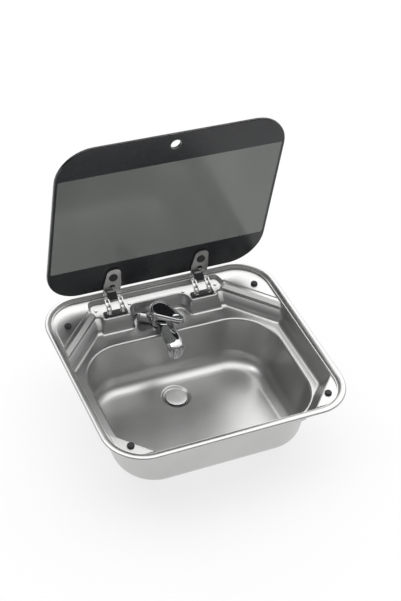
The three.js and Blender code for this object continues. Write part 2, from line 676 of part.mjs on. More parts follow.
function tonguePlan(margin) {
  const tip = onLid(TONGUE_TOP) - margin;
  const low = onLid(TONGUE_LOW) + margin;
  return roundedOutline([
    { x: -TONGUE_TIP_HALF - margin, y: tip, r: TONGUE_RADIUS },
    { x: TONGUE_TIP_HALF + margin, y: tip, r: TONGUE_RADIUS },
    { x: TONGUE_HALF + margin, y: low, r: 1 },
    { x: -TONGUE_HALF - margin, y: low, r: 1 },
  ], 6);
}

function lidPad() {
  const pad = prism(tonguePlan(PAD_MARGIN), padTop - PAD_THICK, padTop);
  return drilled(pad, [[0, onLid(LID_SCREW_AT)]], LID_SCREW_RADIUS + GAP, -DECK_DROP, ABOVE);
}

// A flat outline in (y, z) as plain points.
const inPlane = (pairs) => pairs.map(([y, z]) => new THREE.Vector2(y, z));

// Tongue on the glass, with two arms that curve from the lid's hinged edge down to the upper axle.
function lidBracket() {
  const low = tongueTop - BRACKET_THICK;
  const cross = rectangle(linkOutside, onLid(CROSS_TOP), onLid(-CROSS_RUN), CROSS_RADIUS);
  const arch = [0, 30, 60, 90, 120, 150, 180].map((a) => new THREE.Vector2(
    ARCH_RADIUS * Math.cos(radians(a)),
    onLid(ARCH_AT) - ARCH_RADIUS * Math.sin(radians(a)),
  ));
  const plate = prism(tonguePlan(0), low, tongueTop)
    .add(prism(roundedOutline(cross, 3), low, tongueTop))
    .subtract(prism(arch, low - 1, tongueTop + 1));
  const start = new THREE.Vector2(onLid(0.5 - CROSS_RUN), low + BRACKET_THICK / 2);
  const bend = new THREE.QuadraticBezierCurve(start, new THREE.Vector2(upperShut.x - GAP, start.y), upperShut);
  const edge = (from, to, offset) => [0, 0.2, 0.4, 0.6, 0.8, 1].map((part) => {
    const t = lerp(from, to, part);
    const along = bend.getTangent(t);
    return bend.getPoint(t).add(new THREE.Vector2(-along.y, along.x).multiplyScalar(offset));
  });
  const strip = (from, to) => [
    ...edge(from, to, -BRACKET_THICK / 2),
    ...edge(to, from, BRACKET_THICK / 2),
  ];
  const ear = footInside + footEar;
  const arm = sidePrism(strip(0, 0.52), linkInside, linkOutside)
    .add(sidePrism(strip(0.42, 1), footInside, ear))
    .add(rod(LINK_HALF, footInside, ear, upperShut.x, upperShut.y))
    .subtract(rod(PIN_RADIUS + GAP, footInside - 1, ear + 1, upperShut.x, upperShut.y));
  const bracket = plate.add(arm).add(arm.mirror([1, 0, 0]));
  return drilled(bracket, [[0, onLid(LID_SCREW_AT)]], LID_SCREW_RADIUS + GAP, -DECK_DROP, ABOVE);
}

// Black block on the axle, between the two pairs of cheeks.
function axleBlock() {
  const y = upperShut.x;
  const z = upperShut.y;
  const block = sidePrism(inPlane([
    [y - 7.6, z + 5.4],
    [y - 2.3, z - 0.6],
    [y - 1, z - 2.1],
    [y + 1.1, z - 2.1],
    [y + 2.3, z - 0.8],
    [y + 2.3, z + 1.6],
    [y - 0.6, z + 5.6],
    [y - 4, z + 7.6],
    [y - 7.6, z + 7.6],
  ]), -BLOCK_HALF, BLOCK_HALF);
  return block.subtract(rod(PIN_RADIUS + GAP, -BLOCK_HALF - 1, BLOCK_HALF + 1, y, z));
}

function lidScrew() {
  const top = tongueTop - BRACKET_THICK - GAP;
  return moved(turned([
    [0, top - LID_CAP_THICK],
    [LID_CAP - 2, top - LID_CAP_THICK],
    [LID_CAP - 0.6, top - LID_CAP_THICK + 0.6],
    [LID_CAP, top - 0.8],
    [LID_CAP, top],
    [LID_SCREW_RADIUS, top],
    [LID_SCREW_RADIUS, SHUT_LIFT + GLASS_THICK + LID_NUT_THICK - 1.4],
    [0, SHUT_LIFT + GLASS_THICK + LID_NUT_THICK - 1.4],
  ], 20), 0, onLid(LID_SCREW_AT), 0);
}

function lidNut() {
  const low = SHUT_LIFT + GLASS_THICK + GAP;
  const bore = LID_SCREW_RADIUS + GAP;
  return moved(turned([
    [0, low + LID_NUT_THICK - 1.4],
    [bore, low + LID_NUT_THICK - 1.4],
    [bore, low],
    [LID_NUT, low],
    [LID_NUT, low + 1.6],
    [LID_NUT - 1.4, low + LID_NUT_THICK],
    [0, low + LID_NUT_THICK],
  ], 20), 0, onLid(LID_SCREW_AT), 0);
}

// ---------------------------------------------------------------- hinge
const linkInside = BLOCK_HALF + GAP;
const linkOutside = linkInside + LINK_SPAN;
const footEar = LINK_SPAN - 2 * LINK_THICK - 2 * GAP;
const footInside = linkInside + LINK_THICK + GAP;

// Bowed link with two cheeks and a web between them, along X from x = 0.
function link(low, high) {
  const across = high.clone().sub(low);
  const side = new THREE.Vector2(-across.y, across.x).normalize();
  const edge = (from, to, offset) => [0, 0.2, 0.4, 0.6, 0.8, 1].map((part) => {
    const t = lerp(from, to, part);
    const bow = LINK_BOW * Math.sin(Math.PI * t) + offset;
    return low.clone().addScaledVector(across, t).addScaledVector(side, bow);
  });
  const strip = [...edge(0, 1, -LINK_HALF), ...edge(1, 0, LINK_HALF)];
  const webStrip = [...edge(0.3, 0.72, -LINK_HALF), ...edge(0.72, 0.3, LINK_WEB - LINK_HALF)];
  let body = sidePrism(webStrip, LINK_THICK / 2, LINK_SPAN - LINK_THICK / 2);
  [0, LINK_SPAN - LINK_THICK].forEach((x) => {
    body = body.add(sidePrism(strip, x, x + LINK_THICK));
    [low, high].forEach((p) => {
      body = body.add(rod(LINK_HALF, x, x + LINK_THICK, p.x, p.y));
    });
  });
  [low, high].forEach((p) => {
    body = body.subtract(rod(PIN_RADIUS + GAP, -1, LINK_SPAN + 1, p.x, p.y));
  });
  return body;
}

const baseTop = -DECK_DROP + GAP + BASE_THICK;

function hingeBase() {
  const low = -DECK_DROP + GAP;
  const front = pivotY - BASE_FRONT;
  const back = pivotY + BASE_BACK;
  const plan = (inset) => rectangle(BASE_HALF - inset, front + inset, back - inset, BASE_RADIUS - inset);
  const plate = loft([
    ringAt(plan(0), low, 4),
    ringAt(plan(0), baseTop - 0.5, 4),
    ringAt(plan(0.5), baseTop, 4),
  ]);
  const under = -DECK_DROP - SHEET - GAP;
  const peg = turned([
    [0, under - PEG_TAIL],
    [1.2, under - PEG_TAIL],
    [PEG_BARB, under - 0.8],
    [PEG_BARB, under],
    [PEG_RADIUS, under],
    [PEG_RADIUS, low + 0.5],
    [0, low + 0.5],
  ], 10);
  return plate.add(moved(peg, -PEG_SPREAD, pivotY, 0)).add(moved(peg, PEG_SPREAD, pivotY, 0));
}

// Foot with an ear that stands between a link's cheeks.
function hingeFoot() {
  const low = baseTop + GAP;
  const y = lowerPivot.x;
  const side = (LINK_SPAN - footEar) / 2;
  const plate = box(-side, footEar + side, y - FOOT_FRONT, y + FOOT_BACK, low, low + FOOT_THICK);
  const strap = sidePrism(inPlane([
    [y - LINK_HALF - 1, low],
    [y + FOOT_BACK, low],
    [y + LINK_HALF, lowerPivot.y],
    [y - LINK_HALF, lowerPivot.y],
  ]), 0, footEar);
  const eye = rod(LINK_HALF, 0, footEar, y, lowerPivot.y);
  return plate.add(strap).add(eye).subtract(rod(PIN_RADIUS + GAP, -1, footEar + 1, y, lowerPivot.y));
}

// Headed pin along X from a hidden inner end to a head outside.
function lowerPin() {
  const y = lowerPivot.x;
  const z = lowerPivot.y;
  const outside = linkOutside + GAP;
  return rod(PIN_RADIUS, linkInside, outside + 0.1, y, z)
    .add(rod(PIN_HEAD, outside, outside + PIN_HEAD_THICK, y, z));
}

function upperAxle() {
  const reach = linkOutside + GAP;
  const y = upperOpen.x;
  const z = upperOpen.y;
  return rod(PIN_RADIUS, -reach - 0.1, reach + 0.1, y, z)
    .add(rod(PIN_HEAD, reach, reach + PIN_HEAD_THICK, y, z))
    .add(rod(PIN_HEAD, -reach - PIN_HEAD_THICK, -reach, y, z));
}

function deckRivet() {
  const seat = -DECK_DROP + GAP;
  const under = -DECK_DROP - SHEET - GAP;
  return turned([
    [0, under - 1],
    [RIVET_RADIUS + 0.8, under - 1],
    [RIVET_RADIUS + 0.8, under],
    [RIVET_RADIUS, under],
    [RIVET_RADIUS, seat],
    [RIVET_HEAD, seat],
    [RIVET_HEAD - 0.4, seat + RIVET_HEAD_THICK * 0.6],
    [RIVET_HEAD * 0.5, seat + RIVET_HEAD_THICK],
    [0, seat + RIVET_HEAD_THICK],
  ], 12);
}

// ---------------------------------------------------------------- drain
function plugSeal() {
  const low = -BOWL_FLOOR - DISH_DEPTH + GAP;
  const bore = DRAIN_RADIUS - GAP;
  return moved(cylinder(PLUG_RADIUS + PLUG_SEAL_LIP, low, low + PLUG_SEAL_THICK, 28)
    .subtract(cylinder(bore, low - 1, low + PLUG_SEAL_THICK + 1, 28)), drain.x, drain.y, 0);
}

function plug() {
  const low = -BOWL_FLOOR - DISH_DEPTH + 2 * GAP + PLUG_SEAL_THICK;
  const spigot = DRAIN_RADIUS - 2 * GAP;
  return moved(turned([
    [0, low - 1],
    [spigot - 2, low - 1],
    [spigot - 2, -BOWL_FLOOR - DISH_DEPTH - SHEET + 0.2],
    [spigot, -BOWL_FLOOR - DISH_DEPTH - SHEET + 0.2],
    [spigot, low],
    [PLUG_RADIUS, low],
    [PLUG_RADIUS, low + PLUG_THICK * 0.6],
    [PLUG_RADIUS - 0.8, low + PLUG_THICK],
    [PLUG_RADIUS * 0.6, low + PLUG_THICK + 0.5],
    [0, low + PLUG_THICK + 0.7],
  ], 28), drain.x, drain.y, 0);
}

// ---------------------------------------------------------------- tap, on its own axis
const tapSeat = -LEDGE_DROP + 2 * GAP + TAP_SEAL_THICK;
const ledgeUnder = -LEDGE_DROP - SHEET;

function tapSeal() {
  const low = -LEDGE_DROP + GAP;
  return cylinder(TAP_RADIUS + 0.4, low, low + TAP_SEAL_THICK, 28)
    .subtract(cylinder(STEM_RADIUS + GAP, low - 1, low + TAP_SEAL_THICK + 1, 28));
}

// Turns a body that points to the front (-Y) by degrees, positive to the right (+X).
const facing = (solid, degrees) => solid.rotate([0, 0, degrees]);

// Straight arm to the front through faceted sections [reach, half width, top, bottom].
function facetedArm(sections) {
  const rings = sections.map(([reach, half, top, bottom]) => {
    const tall = top - bottom;
    return [
      [-0.7 * half, bottom],
      [0.7 * half, bottom],
      [half, bottom + 0.45 * tall],
      [0.72 * half, top - 0.14 * tall],
      [0, top],
      [-0.72 * half, top - 0.14 * tall],
      [-half, bottom + 0.45 * tall],
    ].map(([x, z]) => new THREE.Vector3(x, z, reach));
  });
  return loft(rings).rotate([90, 0, 0]);
}

function tapBody() {
  const body = turned([
    [0, tapSeat],
    [TAP_RADIUS, tapSeat],
    [TAP_RADIUS, tapSeat + 2.6],
    [TAP_RADIUS - 1, tapSeat + 3.6],
    [TAP_RADIUS - 1.2, -TAP_SHOULDER],
    [NECK_RADIUS, -TAP_SHOULDER],
    [NECK_RADIUS, -NECK_TOP],
    [0, -NECK_TOP],
  ], 28);
  const top = -TAP_SHOULDER - 0.4;
  const arm = facing(facetedArm([
    [6, ARM_ROOT_HALF, top, tapSeat + 1],
    [TAP_RADIUS + 4, ARM_ROOT_HALF, top, tapSeat + 1],
    [ARM_REACH - 3, ARM_TIP_HALF, top - 0.6, tapSeat + 2.4],
    [ARM_REACH, ARM_TIP_HALF - 1.6, top - 1.8, tapSeat + 3.4],
  ]), -ARM_TURN);
  const socket = cylinder(STEM_RADIUS + GAP, tapSeat - 1, tapSeat + STEM_SOCKET + GAP, 28);
  return body.add(arm).subtract(socket);
}

function tapStem() {
  const low = -LEDGE_DROP - STEM_DROP;
  return cylinder(STEM_RADIUS, low, tapSeat + STEM_SOCKET, 28)
    .subtract(cylinder(STEM_BORE, low - 1, tapSeat + STEM_SOCKET - 1.5, 28));
}

function tapWasher() {
  const top = ledgeUnder - GAP;
  return cylinder(WASHER_RADIUS, top - WASHER_THICK, top, 28)
    .subtract(cylinder(STEM_RADIUS + GAP, top - WASHER_THICK - 1, top + 1, 28));
}

function tapNut() {
  const top = ledgeUnder - 2 * GAP - WASHER_THICK;
  return cylinder(NUT_RADIUS, top - NUT_THICK, top, 6)
    .subtract(cylinder(STEM_RADIUS + GAP, top - NUT_THICK - 1, top + 1, 28));
}

function inlet() {
  return turned([
    [0, -INLET_END],
    [INLET_RADIUS, -INLET_END],
    [INLET_COLLAR, -INLET_END + 1],
    [INLET_COLLAR, -INLET_END + INLET_COLLAR_TALL - 1],
    [INLET_RADIUS, -INLET_END + INLET_COLLAR_TALL],
    [INLET_RADIUS, -INLET_TOP],
    [0, -INLET_TOP],
  ], 20);
}

function spout() {
  const ring = cylinder(SPOUT_RING, -TAP_SHOULDER + GAP, -SPOUT_RING_TOP, 28);
  const low = -SPOUT_TOP - SPOUT_THICK + 0.9;
  const deep = low - SPOUT_DEEPER;
  const arm = facetedArm([
    [4, SPOUT_HALF_ROOT, -SPOUT_TOP, low],
    [TAP_RADIUS + 4, SPOUT_HALF_ROOT, -SPOUT_TOP, low],
    [2 * TAP_RADIUS, lerp(SPOUT_HALF_ROOT, SPOUT_HALF_TIP, 0.3), -SPOUT_TOP, deep],
    [NOZZLE_AT - 2, SPOUT_HALF_TIP, -SPOUT_TOP - 0.6, deep - 0.6],
    [SPOUT_REACH - 2, SPOUT_HALF_TIP - 1, -SPOUT_TOP - 3, deep - 1],
    [SPOUT_REACH + 1.5, SPOUT_HALF_TIP - 3.4, -SPOUT_TOP - 7, deep - 1.4],
  ]);
  const fluted = (radius, z) => {
    const ring = [];
    for (let i = 0; i < 4 * NOZZLE_FLUTES; i += 1) {
      const a = (Math.PI * i) / (2 * NOZZLE_FLUTES);
      const r = radius - [0, 0.35, 1, 0.35][i % 4];
      ring.push(new THREE.Vector3(r * Math.cos(a), r * Math.sin(a), z));
    }
    return ring;
  };
  const nozzle = loft([
    fluted(NOZZLE_RADIUS - 0.6, -NOZZLE_END),
    fluted(NOZZLE_RADIUS, -NOZZLE_END + 1),
    fluted(NOZZLE_TOP_RADIUS, deep - 1.6),
    fluted(NOZZLE_TOP_RADIUS - 2, deep + 2),
  ]);
  const socket = cylinder(AERATOR_RADIUS + GAP, -NOZZLE_END - 1, -NOZZLE_END + NOZZLE_SOCKET + GAP, 24);
  return ring.add(arm).add(moved(nozzle, 0, -NOZZLE_AT, 0))
    .subtract(moved(socket, 0, -NOZZLE_AT, 0))
    .subtract(cylinder(NECK_RADIUS + GAP, -TAP_SHOULDER - 3, 0, 28));
}

function aerator() {
  const low = -NOZZLE_END - AERATOR_SHOW;
  return moved(turned([
    [0, low + 1.4],
    [AERATOR_RADIUS - 1.8, low + 1.4],
    [AERATOR_RADIUS - 1.2, low],
    [AERATOR_RADIUS - 0.4, low],
    [AERATOR_RADIUS, low + 0.6],
    [AERATOR_RADIUS, -NOZZLE_END + NOZZLE_SOCKET],
    [0, -NOZZLE_END + NOZZLE_SOCKET],
  ], 24), 0, -NOZZLE_AT, 0);
}

function leverCarrier() {
  return cylinder(NECK_RADIUS - 0.1, -NECK_TOP + GAP, -NECK_TOP + GAP + CARRIER_THICK, 24);
}

function leverCap() {
  const ceiling = -NECK_TOP + 2 * GAP + CARRIER_THICK;
  const dome = turned([
    [0, -CAP_LOW],
    [CAP_RADIUS, -CAP_LOW],
    [CAP_RADIUS, -CAP_LOW + 4.4],
    [CAP_RADIUS - 1, -TAP_TOP - 4.4],
    [CAP_RADIUS - 3.2, -TAP_TOP - 2],
    [CAP_RADIUS - 7.5, -TAP_TOP - 0.6],
    [0, -TAP_TOP],
  ], 28);
  const top = -LEVER_TOP;
  const reach = LEVER_REACH - LEVER_TIP;
  const teardrop = (margin, z) => {
    const big = CAP_RADIUS - 3.5 + margin;
    const small = LEVER_TIP + margin;
    const lean = Math.asin((big - small) / reach);
    const points = [];
    for (let i = 0; i <= 8; i += 1) {
      const a = lerp(-Math.PI + lean, -lean, i / 8);
      points.push(new THREE.Vector3(small * Math.cos(a), -reach + small * Math.sin(a), z));
    }
    for (let i = 0; i <= 12; i += 1) {
      const a = lerp(-lean, Math.PI + lean, i / 12);
      points.push(new THREE.Vector3(big * Math.cos(a), big * Math.sin(a), z));
    }
    return points;
  };
  const blade = loft([
    teardrop(-1.2, top - LEVER_THICK),
    teardrop(0, top - LEVER_THICK + 1.2),
    teardrop(0, top - 0.9),
    teardrop(-0.9, top),
  ]);
  const bowl = (DIMPLE_HALF * DIMPLE_HALF) / (2 * DIMPLE_DEPTH) + DIMPLE_DEPTH / 2;
  const ball = solidOf(new THREE.SphereGeometry(bowl, 36, 24));
  const dimple = moved(ball.scale([0.9, 1.25, 1]), 0, -DIMPLE_AT, top + bowl - DIMPLE_DEPTH);
  const hollow = cylinder(CAP_HOLLOW, -CAP_LOW - 1, ceiling, 28);
  const sloped = (solid) => solid.rotate([LEVER_SLOPE, 0, 0]);
  return facing(dome.add(sloped(blade)).subtract(sloped(dimple)).subtract(hollow), LEVER_TURN);
}

// ---------------------------------------------------------------- assembly
const sink = new THREE.Group();
addPiece(sink, 'sink_shell', sinkShell(), BRUSHED());
addPiece(sink, 'rim_seal', rimSeal(), RUBBER());
bumperPlaces.forEach(([name, x, y]) => addPiece(sink, name, moved(bumper(), x, y, 0), RUBBER()));
addPiece(sink, 'plug_seal', plugSeal(), RUBBER());
addPiece(sink, 'plug', plug(), BRUSHED());
addPiece(sink, 'glass_lid', swungOpen(glassLid()), SMOKED_GLASS());

hinges.forEach(([side, x]) => {
  const add = (name, solid, material) => addPiece(sink, `${side}_${name}`, moved(solid, x, 0, 0), material);
  add('hinge_base', hingeBase(), BLACK_PLASTIC());
  add('outer_rivet', moved(deckRivet(), Math.sign(x) * RIVET_SPREAD, rivetY, 0), BRIGHT());
  add('inner_rivet', moved(deckRivet(), -Math.sign(x) * RIVET_SPREAD, rivetY, 0), BRIGHT());
  [['a', -1], ['b', 1]].forEach(([end, sign]) => {
    const placed = (solid) => (sign < 0 ? solid.mirror([1, 0, 0]) : solid);
    add(`hinge_foot_${end}`, placed(moved(hingeFoot(), footInside, 0, 0)), BRUSHED());
    add(`hinge_link_${end}`, placed(moved(link(lowerPivot, upperOpen), linkInside, 0, 0)), BRUSHED());
    add(`lower_pin_${end}`, placed(lowerPin()), BRIGHT());
  });
  add('hinge_axle', upperAxle(), BRIGHT());
  add('lid_pad', swungOpen(lidPad()), RUBBER());
  add('lid_bracket', swungOpen(lidBracket()), BRUSHED());
  add('axle_block', swungOpen(axleBlock()), BLACK_PLASTIC());
  add('lid_screw', swungOpen(lidScrew()), BLACK_PLASTIC());
  add('lid_nut', swungOpen(lidNut()), BLACK_PLASTIC());
});

const tap = (name, solid, material) => addPiece(sink, name, moved(solid, TAP_X, tapY, 0), material);
tap('tap_seal', tapSeal(), RUBBER());
tap('tap_body', tapBody(), BRIGHT());
tap('tap_stem', tapStem(), BRASS());
tap('tap_washer', tapWasher(), BRUSHED());
tap('tap_nut', tapNut(), BRASS());
tap('cold_inlet', moved(inlet(), INLET_SPREAD, 0, 0), BRIGHT());
tap('hot_inlet', moved(inlet(), -INLET_SPREAD, 0, 0), BRIGHT());
tap('spout', spout(), BRIGHT());
tap('aerator', aerator(), BLACK_PLASTIC());
tap('lever_carrier', leverCarrier(), BRASS());
tap('lever_cap', leverCap(), BRIGHT());

export default sink;
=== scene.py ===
import json
import math

import bmesh
import bpy
from mathutils import Matrix, Vector


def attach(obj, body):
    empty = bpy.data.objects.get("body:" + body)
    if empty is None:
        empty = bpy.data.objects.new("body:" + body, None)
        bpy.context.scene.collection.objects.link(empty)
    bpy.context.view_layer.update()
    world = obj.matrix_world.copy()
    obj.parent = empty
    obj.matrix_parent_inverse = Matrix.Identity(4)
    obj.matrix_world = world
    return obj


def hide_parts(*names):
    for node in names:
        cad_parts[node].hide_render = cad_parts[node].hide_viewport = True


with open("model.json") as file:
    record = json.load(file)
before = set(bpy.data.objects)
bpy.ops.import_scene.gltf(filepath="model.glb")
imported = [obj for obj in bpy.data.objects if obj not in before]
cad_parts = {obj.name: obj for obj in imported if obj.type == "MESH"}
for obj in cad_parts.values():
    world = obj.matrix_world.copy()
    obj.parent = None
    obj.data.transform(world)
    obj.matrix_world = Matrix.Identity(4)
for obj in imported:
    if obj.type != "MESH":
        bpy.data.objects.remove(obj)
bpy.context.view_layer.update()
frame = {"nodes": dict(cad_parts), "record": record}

MM = 0.001
scene = bpy.context.scene

# ---------------------------------------------------------------- camera
FOCAL_PX = 1365.0
IMAGE_LONG_PX = 601.0
SENSOR = 36.0
CLIP_NEAR, CLIP_FAR = 0.05, 20.0
CAM_AZ, CAM_EL, CAM_ROLL = (math.radians(a) for a in (29.79, 42.34, 8.13))
CAM_T = Vector((-10.1, 87.2, 2216.4)) * MM    # the frame's origin in the camera's own axes


def make_camera():
    forward = Vector((math.sin(CAM_AZ) * math.cos(CAM_EL),
                      math.cos(CAM_AZ) * math.cos(CAM_EL), -math.sin(CAM_EL)))
    right = forward.cross(Vector((0, 0, 1))).normalized()
    down = forward.cross(right)
    c, s = math.cos(CAM_ROLL), math.sin(CAM_ROLL)
    right, down = right * c - down * s, right * s + down * c
    rows = Matrix((right, down, forward))
    place = -(rows.transposed() @ CAM_T)
    data = bpy.data.cameras.new("camera")
    data.sensor_width = SENSOR
    data.lens = FOCAL_PX * SENSOR / IMAGE_LONG_PX
    data.clip_start = CLIP_NEAR
    data.clip_end = CLIP_FAR
    camera = bpy.data.objects.new("camera", data)
    turn = Matrix((right, -down, -forward)).transposed().to_4x4()
    camera.matrix_world = Matrix.Translation(place) @ turn
    scene.collection.objects.link(camera)
    scene.camera = camera


make_camera()
scene.view_settings.view_transform = "Standard"

# ---------------------------------------------------------------- materials
NOISE_LOW, NOISE_HIGH = 0.3, 0.7      # where nearly all of a noise texture's values lie
METAL_CLOUDS, DULL_CLOUDS = 9.0, 40.0
GRAIN_ROUGHNESS = 0.03
METAL_RELIEF, DULL_RELIEF = 0.00002, 0.00004


def new_material(name):
    mat = bpy.data.materials.new(name)
    mat.use_nodes = True
    nodes = mat.node_tree.nodes
    return mat, nodes, mat.node_tree.links, nodes["Principled BSDF"]


def noise(nodes, links, scale, detail, stretch=(1, 1, 1)):
    coord = nodes.new("ShaderNodeTexCoord")
    mapping = nodes.new("ShaderNodeMapping")
    mapping.inputs["Scale"].default_value = stretch
    links.new(coord.outputs["Object"], mapping.inputs["Vector"])
    tex = nodes.new("ShaderNodeTexNoise")
    tex.inputs["Scale"].default_value = scale
    tex.inputs["Detail"].default_value = detail
    tex.inputs["Roughness"].default_value = 0.55
    links.new(mapping.outputs["Vector"], tex.inputs["Vector"])
    return tex.outputs["Fac"]


def spread(nodes, links, value, low, high):
    node = nodes.new("ShaderNodeMapRange")
    node.inputs["From Min"].default_value = NOISE_LOW
    node.inputs["From Max"].default_value = NOISE_HIGH
    node.inputs["To Min"].default_value = low
    node.inputs["To Max"].default_value = high
    links.new(value, node.inputs["Value"])
    return node.outputs["Result"]


def tinted(nodes, links, value, dark, light):
    ramp = nodes.new("ShaderNodeValToRGB")
    ramp.color_ramp.elements[0].position = NOISE_LOW
    ramp.color_ramp.elements[0].color = (*dark, 1)
    ramp.color_ramp.elements[1].position = NOISE_HIGH
    ramp.color_ramp.elements[1].color = (*light, 1)
    links.new(value, ramp.inputs["Fac"])
    return ramp.outputs["Color"]


def bump(nodes, links, shader, height, strength, distance):
    node = nodes.new("ShaderNodeBump")
    node.inputs["Strength"].default_value = strength
    node.inputs["Distance"].default_value = distance
    links.new(height, node.inputs["Height"])
    links.new(node.outputs["Normal"], shader.inputs["Normal"])


def metal(name, dark, light, rough, grain, stretch, relief):
    """Cloudy metal, its roughness from low to high, with a fine grain that may be drawn out."""
    mat, nodes, links, shader = new_material(name)
    shader.inputs["Metallic"].default_value = 1.0
    cloudy = noise(nodes, links, METAL_CLOUDS, 5.0)
    fine = noise(nodes, links, grain, 3.0, stretch)
    links.new(tinted(nodes, links, cloudy, dark, light), shader.inputs["Base Color"])
    mixed = nodes.new("ShaderNodeMath")
    mixed.operation = "ADD"
    links.new(spread(nodes, links, cloudy, *rough), mixed.inputs[0])
    links.new(spread(nodes, links, fine, -GRAIN_ROUGHNESS, GRAIN_ROUGHNESS), mixed.inputs[1])
    links.new(mixed.outputs[0], shader.inputs["Roughness"])
    bump(nodes, links, shader, fine, relief, METAL_RELIEF)
    return mat


def dull(name, dark, light, rough, grain, relief, specular):
    """Rubber, plastic or enamel with a cloudy colour and a fine grain."""
    mat, nodes, links, shader = new_material(name)
    cloudy = noise(nodes, links, DULL_CLOUDS, 4.0)
    fine = noise(nodes, links, grain, 3.0)
    links.new(tinted(nodes, links, cloudy, dark, light), shader.inputs["Base Color"])
    links.new(spread(nodes, links, fine, *rough), shader.inputs["Roughness"])
    shader.inputs["Specular IOR Level"].default_value = specular
    bump(nodes, links, shader, fine, relief, DULL_RELIEF)
    return mat


def smoked_glass():
    mat, nodes, links, shader = new_material("smoked_glass")
    streaks = noise(nodes, links, 5.0, 2.0, (1.0, 1.0, 0.3))
    tint = tinted(nodes, links, streaks, (0.088, 0.094, 0.090), (0.128, 0.134, 0.128))
    links.new(tint, shader.inputs["Base Color"])
    shader.inputs["Transmission Weight"].default_value = 1.0
    links.new(spread(nodes, links, streaks, 0.10, 0.14), shader.inputs["Roughness"])
    shader.inputs["IOR"].default_value = 1.5
    return mat


steel = metal("satin_steel", (0.56, 0.56, 0.555), (0.63, 0.63, 0.625),
              (0.30, 0.36), 1400.0, (1, 0.12, 1), 0.10)
hinge_steel = metal("hinge_steel", (0.62, 0.62, 0.61), (0.72, 0.72, 0.71),
                    (0.14, 0.22), 1800.0, (0.2, 1, 1), 0.10)
chrome = metal("chrome", (0.55, 0.55, 0.56), (0.63, 0.63, 0.64),
               (0.03, 0.07), 500.0, (1, 1, 1), 0.03)
# Lighter, rougher copy of the satin steel for the drain plug: its lighter tone is a painted highlight for
# the light its top catches from above.
plug_steel_painted_highlight = metal("plug_steel_painted_highlight", (0.74, 0.74, 0.735), (0.84, 0.84, 0.835),
                   (0.40, 0.48), 1600.0, (1, 1, 1), 0.08)
brass = metal("brass", (0.52, 0.40, 0.20), (0.62, 0.50, 0.27),
              (0.25, 0.38), 1200.0, (1, 1, 0.1), 0.15)
rubber = dull("black_rubber", (0.018, 0.018, 0.020), (0.035, 0.035, 0.038),
              (0.5, 0.72), 1500.0, 0.25, 0.4)
seal_rubber = dull("seal_rubber", (0.030, 0.030, 0.030), (0.055, 0.055, 0.055),
                   (0.6, 0.8), 900.0, 0.3, 0.35)
plastic = dull("black_plastic", (0.016, 0.016, 0.018), (0.03, 0.03, 0.033),
               (0.34, 0.5), 2600.0, 0.25, 0.5)
glass = smoked_glass()
enamel = dull("lid_enamel", (0.009, 0.0100, 0.0125), (0.013, 0.0145, 0.018),
              (0.22, 0.30), 1200.0, 0.05, 0.5)

SLOT_LOOK = {
    "steel": steel, "hinge_steel": hinge_steel, "tap_chrome": chrome, "brass": brass,
    "glass": glass, "black_rubber": rubber, "seal": seal_rubber, "black_plastic": plastic,
}


# ---------------------------------------------------------------- surfaces of the pieces
def surfaced(piece, material, weld, flat, sharp):
    """Merges double points (metres) and flat neighbours (degrees), and shades smooth up to sharp."""
    mesh = piece.data
    mesh.materials.clear()
    mesh.materials.append(material)
    bm = bmesh.new()
    bm.from_mesh(mesh)
    bmesh.ops.remove_doubles(bm, verts=bm.verts, dist=weld)
    bmesh.ops.dissolve_limit(bm, angle_limit=math.radians(flat), verts=bm.verts, edges=bm.edges)
    bm.to_mesh(mesh)
    bm.free()
    mesh.shade_smooth()
    mesh.set_sharp_from_angle(angle=math.radians(sharp))


def edges_rounded(piece, width, angle, segments):
    bevel = piece.modifiers.new("edge", "BEVEL")
    bevel.width = width * MM
    bevel.segments = segments
    bevel.limit_method = "ANGLE"
    bevel.angle_limit = math.radians(angle)
    bevel.harden_normals = True


def normals_evened(piece):
    weighted = piece.modifiers.new("normals", "WEIGHTED_NORMAL")
    weighted.keep_sharp = True


# ---------------------------------------------------------------- pressed steel, in millimetres
SHEET = 1.0
RIM_HALF, RIM_FRONT_Y, RIM_BACK_Y = 210, -185, 185
ROLL_SIDE, ROLL_FRONT, ROLL_BACK = 12, 13, 7
ROLL_CROWN, ROLL_LIP = 3.2, 0.3
RIM_RADIUS, RECESS_RADIUS = 67, 56
FLANGE_DROP, LAND_DROP, DECK_DROP, LEDGE_DROP, BOWL_FLOOR = 2.2, 2.8, 12.5, 35, 126
CREASE, LAND_EDGE = 1.5, 1.6
LAND_HALF, LAND_FRONT = 196.5, -170.5
GROOVE_DROP = 5.0                      # groove round the raised lands
LAND_ISLAND = (193.8, -167.8, 155, 42)  # half width, front, back and corner radius of the lands
LAND_ROUND = 1.4
LAND_ROOT = 3                          # how far the lands' body goes below the groove
SIDE_LEAN, FRONT_LEAN = 7, 12          # of the walls, from the lands down to the ledge
FRONT_CHORD, CHORD_RADIUS = 306.5, 7   # |x| + |y| of the front corner walls
STEP_DROP, BEND_DROP = 4.6, 22         # where the rear corner walls change their slope
BACK_CHORDS = ((LAND_DROP, 277), (STEP_DROP, 268.5), (DECK_DROP, 259),
               (BEND_DROP, 249), (LEDGE_DROP, 244))             # their x + y at each depth
DECK_BACK, DECK_BACK_LEAN, DECK_FILLET, DECK_EDGE = 169.5, 5.5, 3, 4
LAND_TIP, TIP_RADIUS, TIP_SHIFT = 151, 5, 0.6                   # where the rear lands end; shift per inset
TIP_BACK, TIP_X, NECK_X = (148.5, 144.5), (126.5, 121), (119.5, 117.5)   # each at the land, at the deck
NECK_RADIUS = 9
LEDGE_FILLET = 7
HINGE_X, BOSS_FRONT, BOSS_LEAN, BOSS_HALF, BOSS_SPREAD = 80, 130, 8, 26, 0.35
BOSS_STEP, BOSS_RADIUS, POCKET_RADIUS, POCKET_FLAT = 12, 6.5, 7, 9
SCOOP_BACK, SCOOP_RADIUS = 153.5, 17
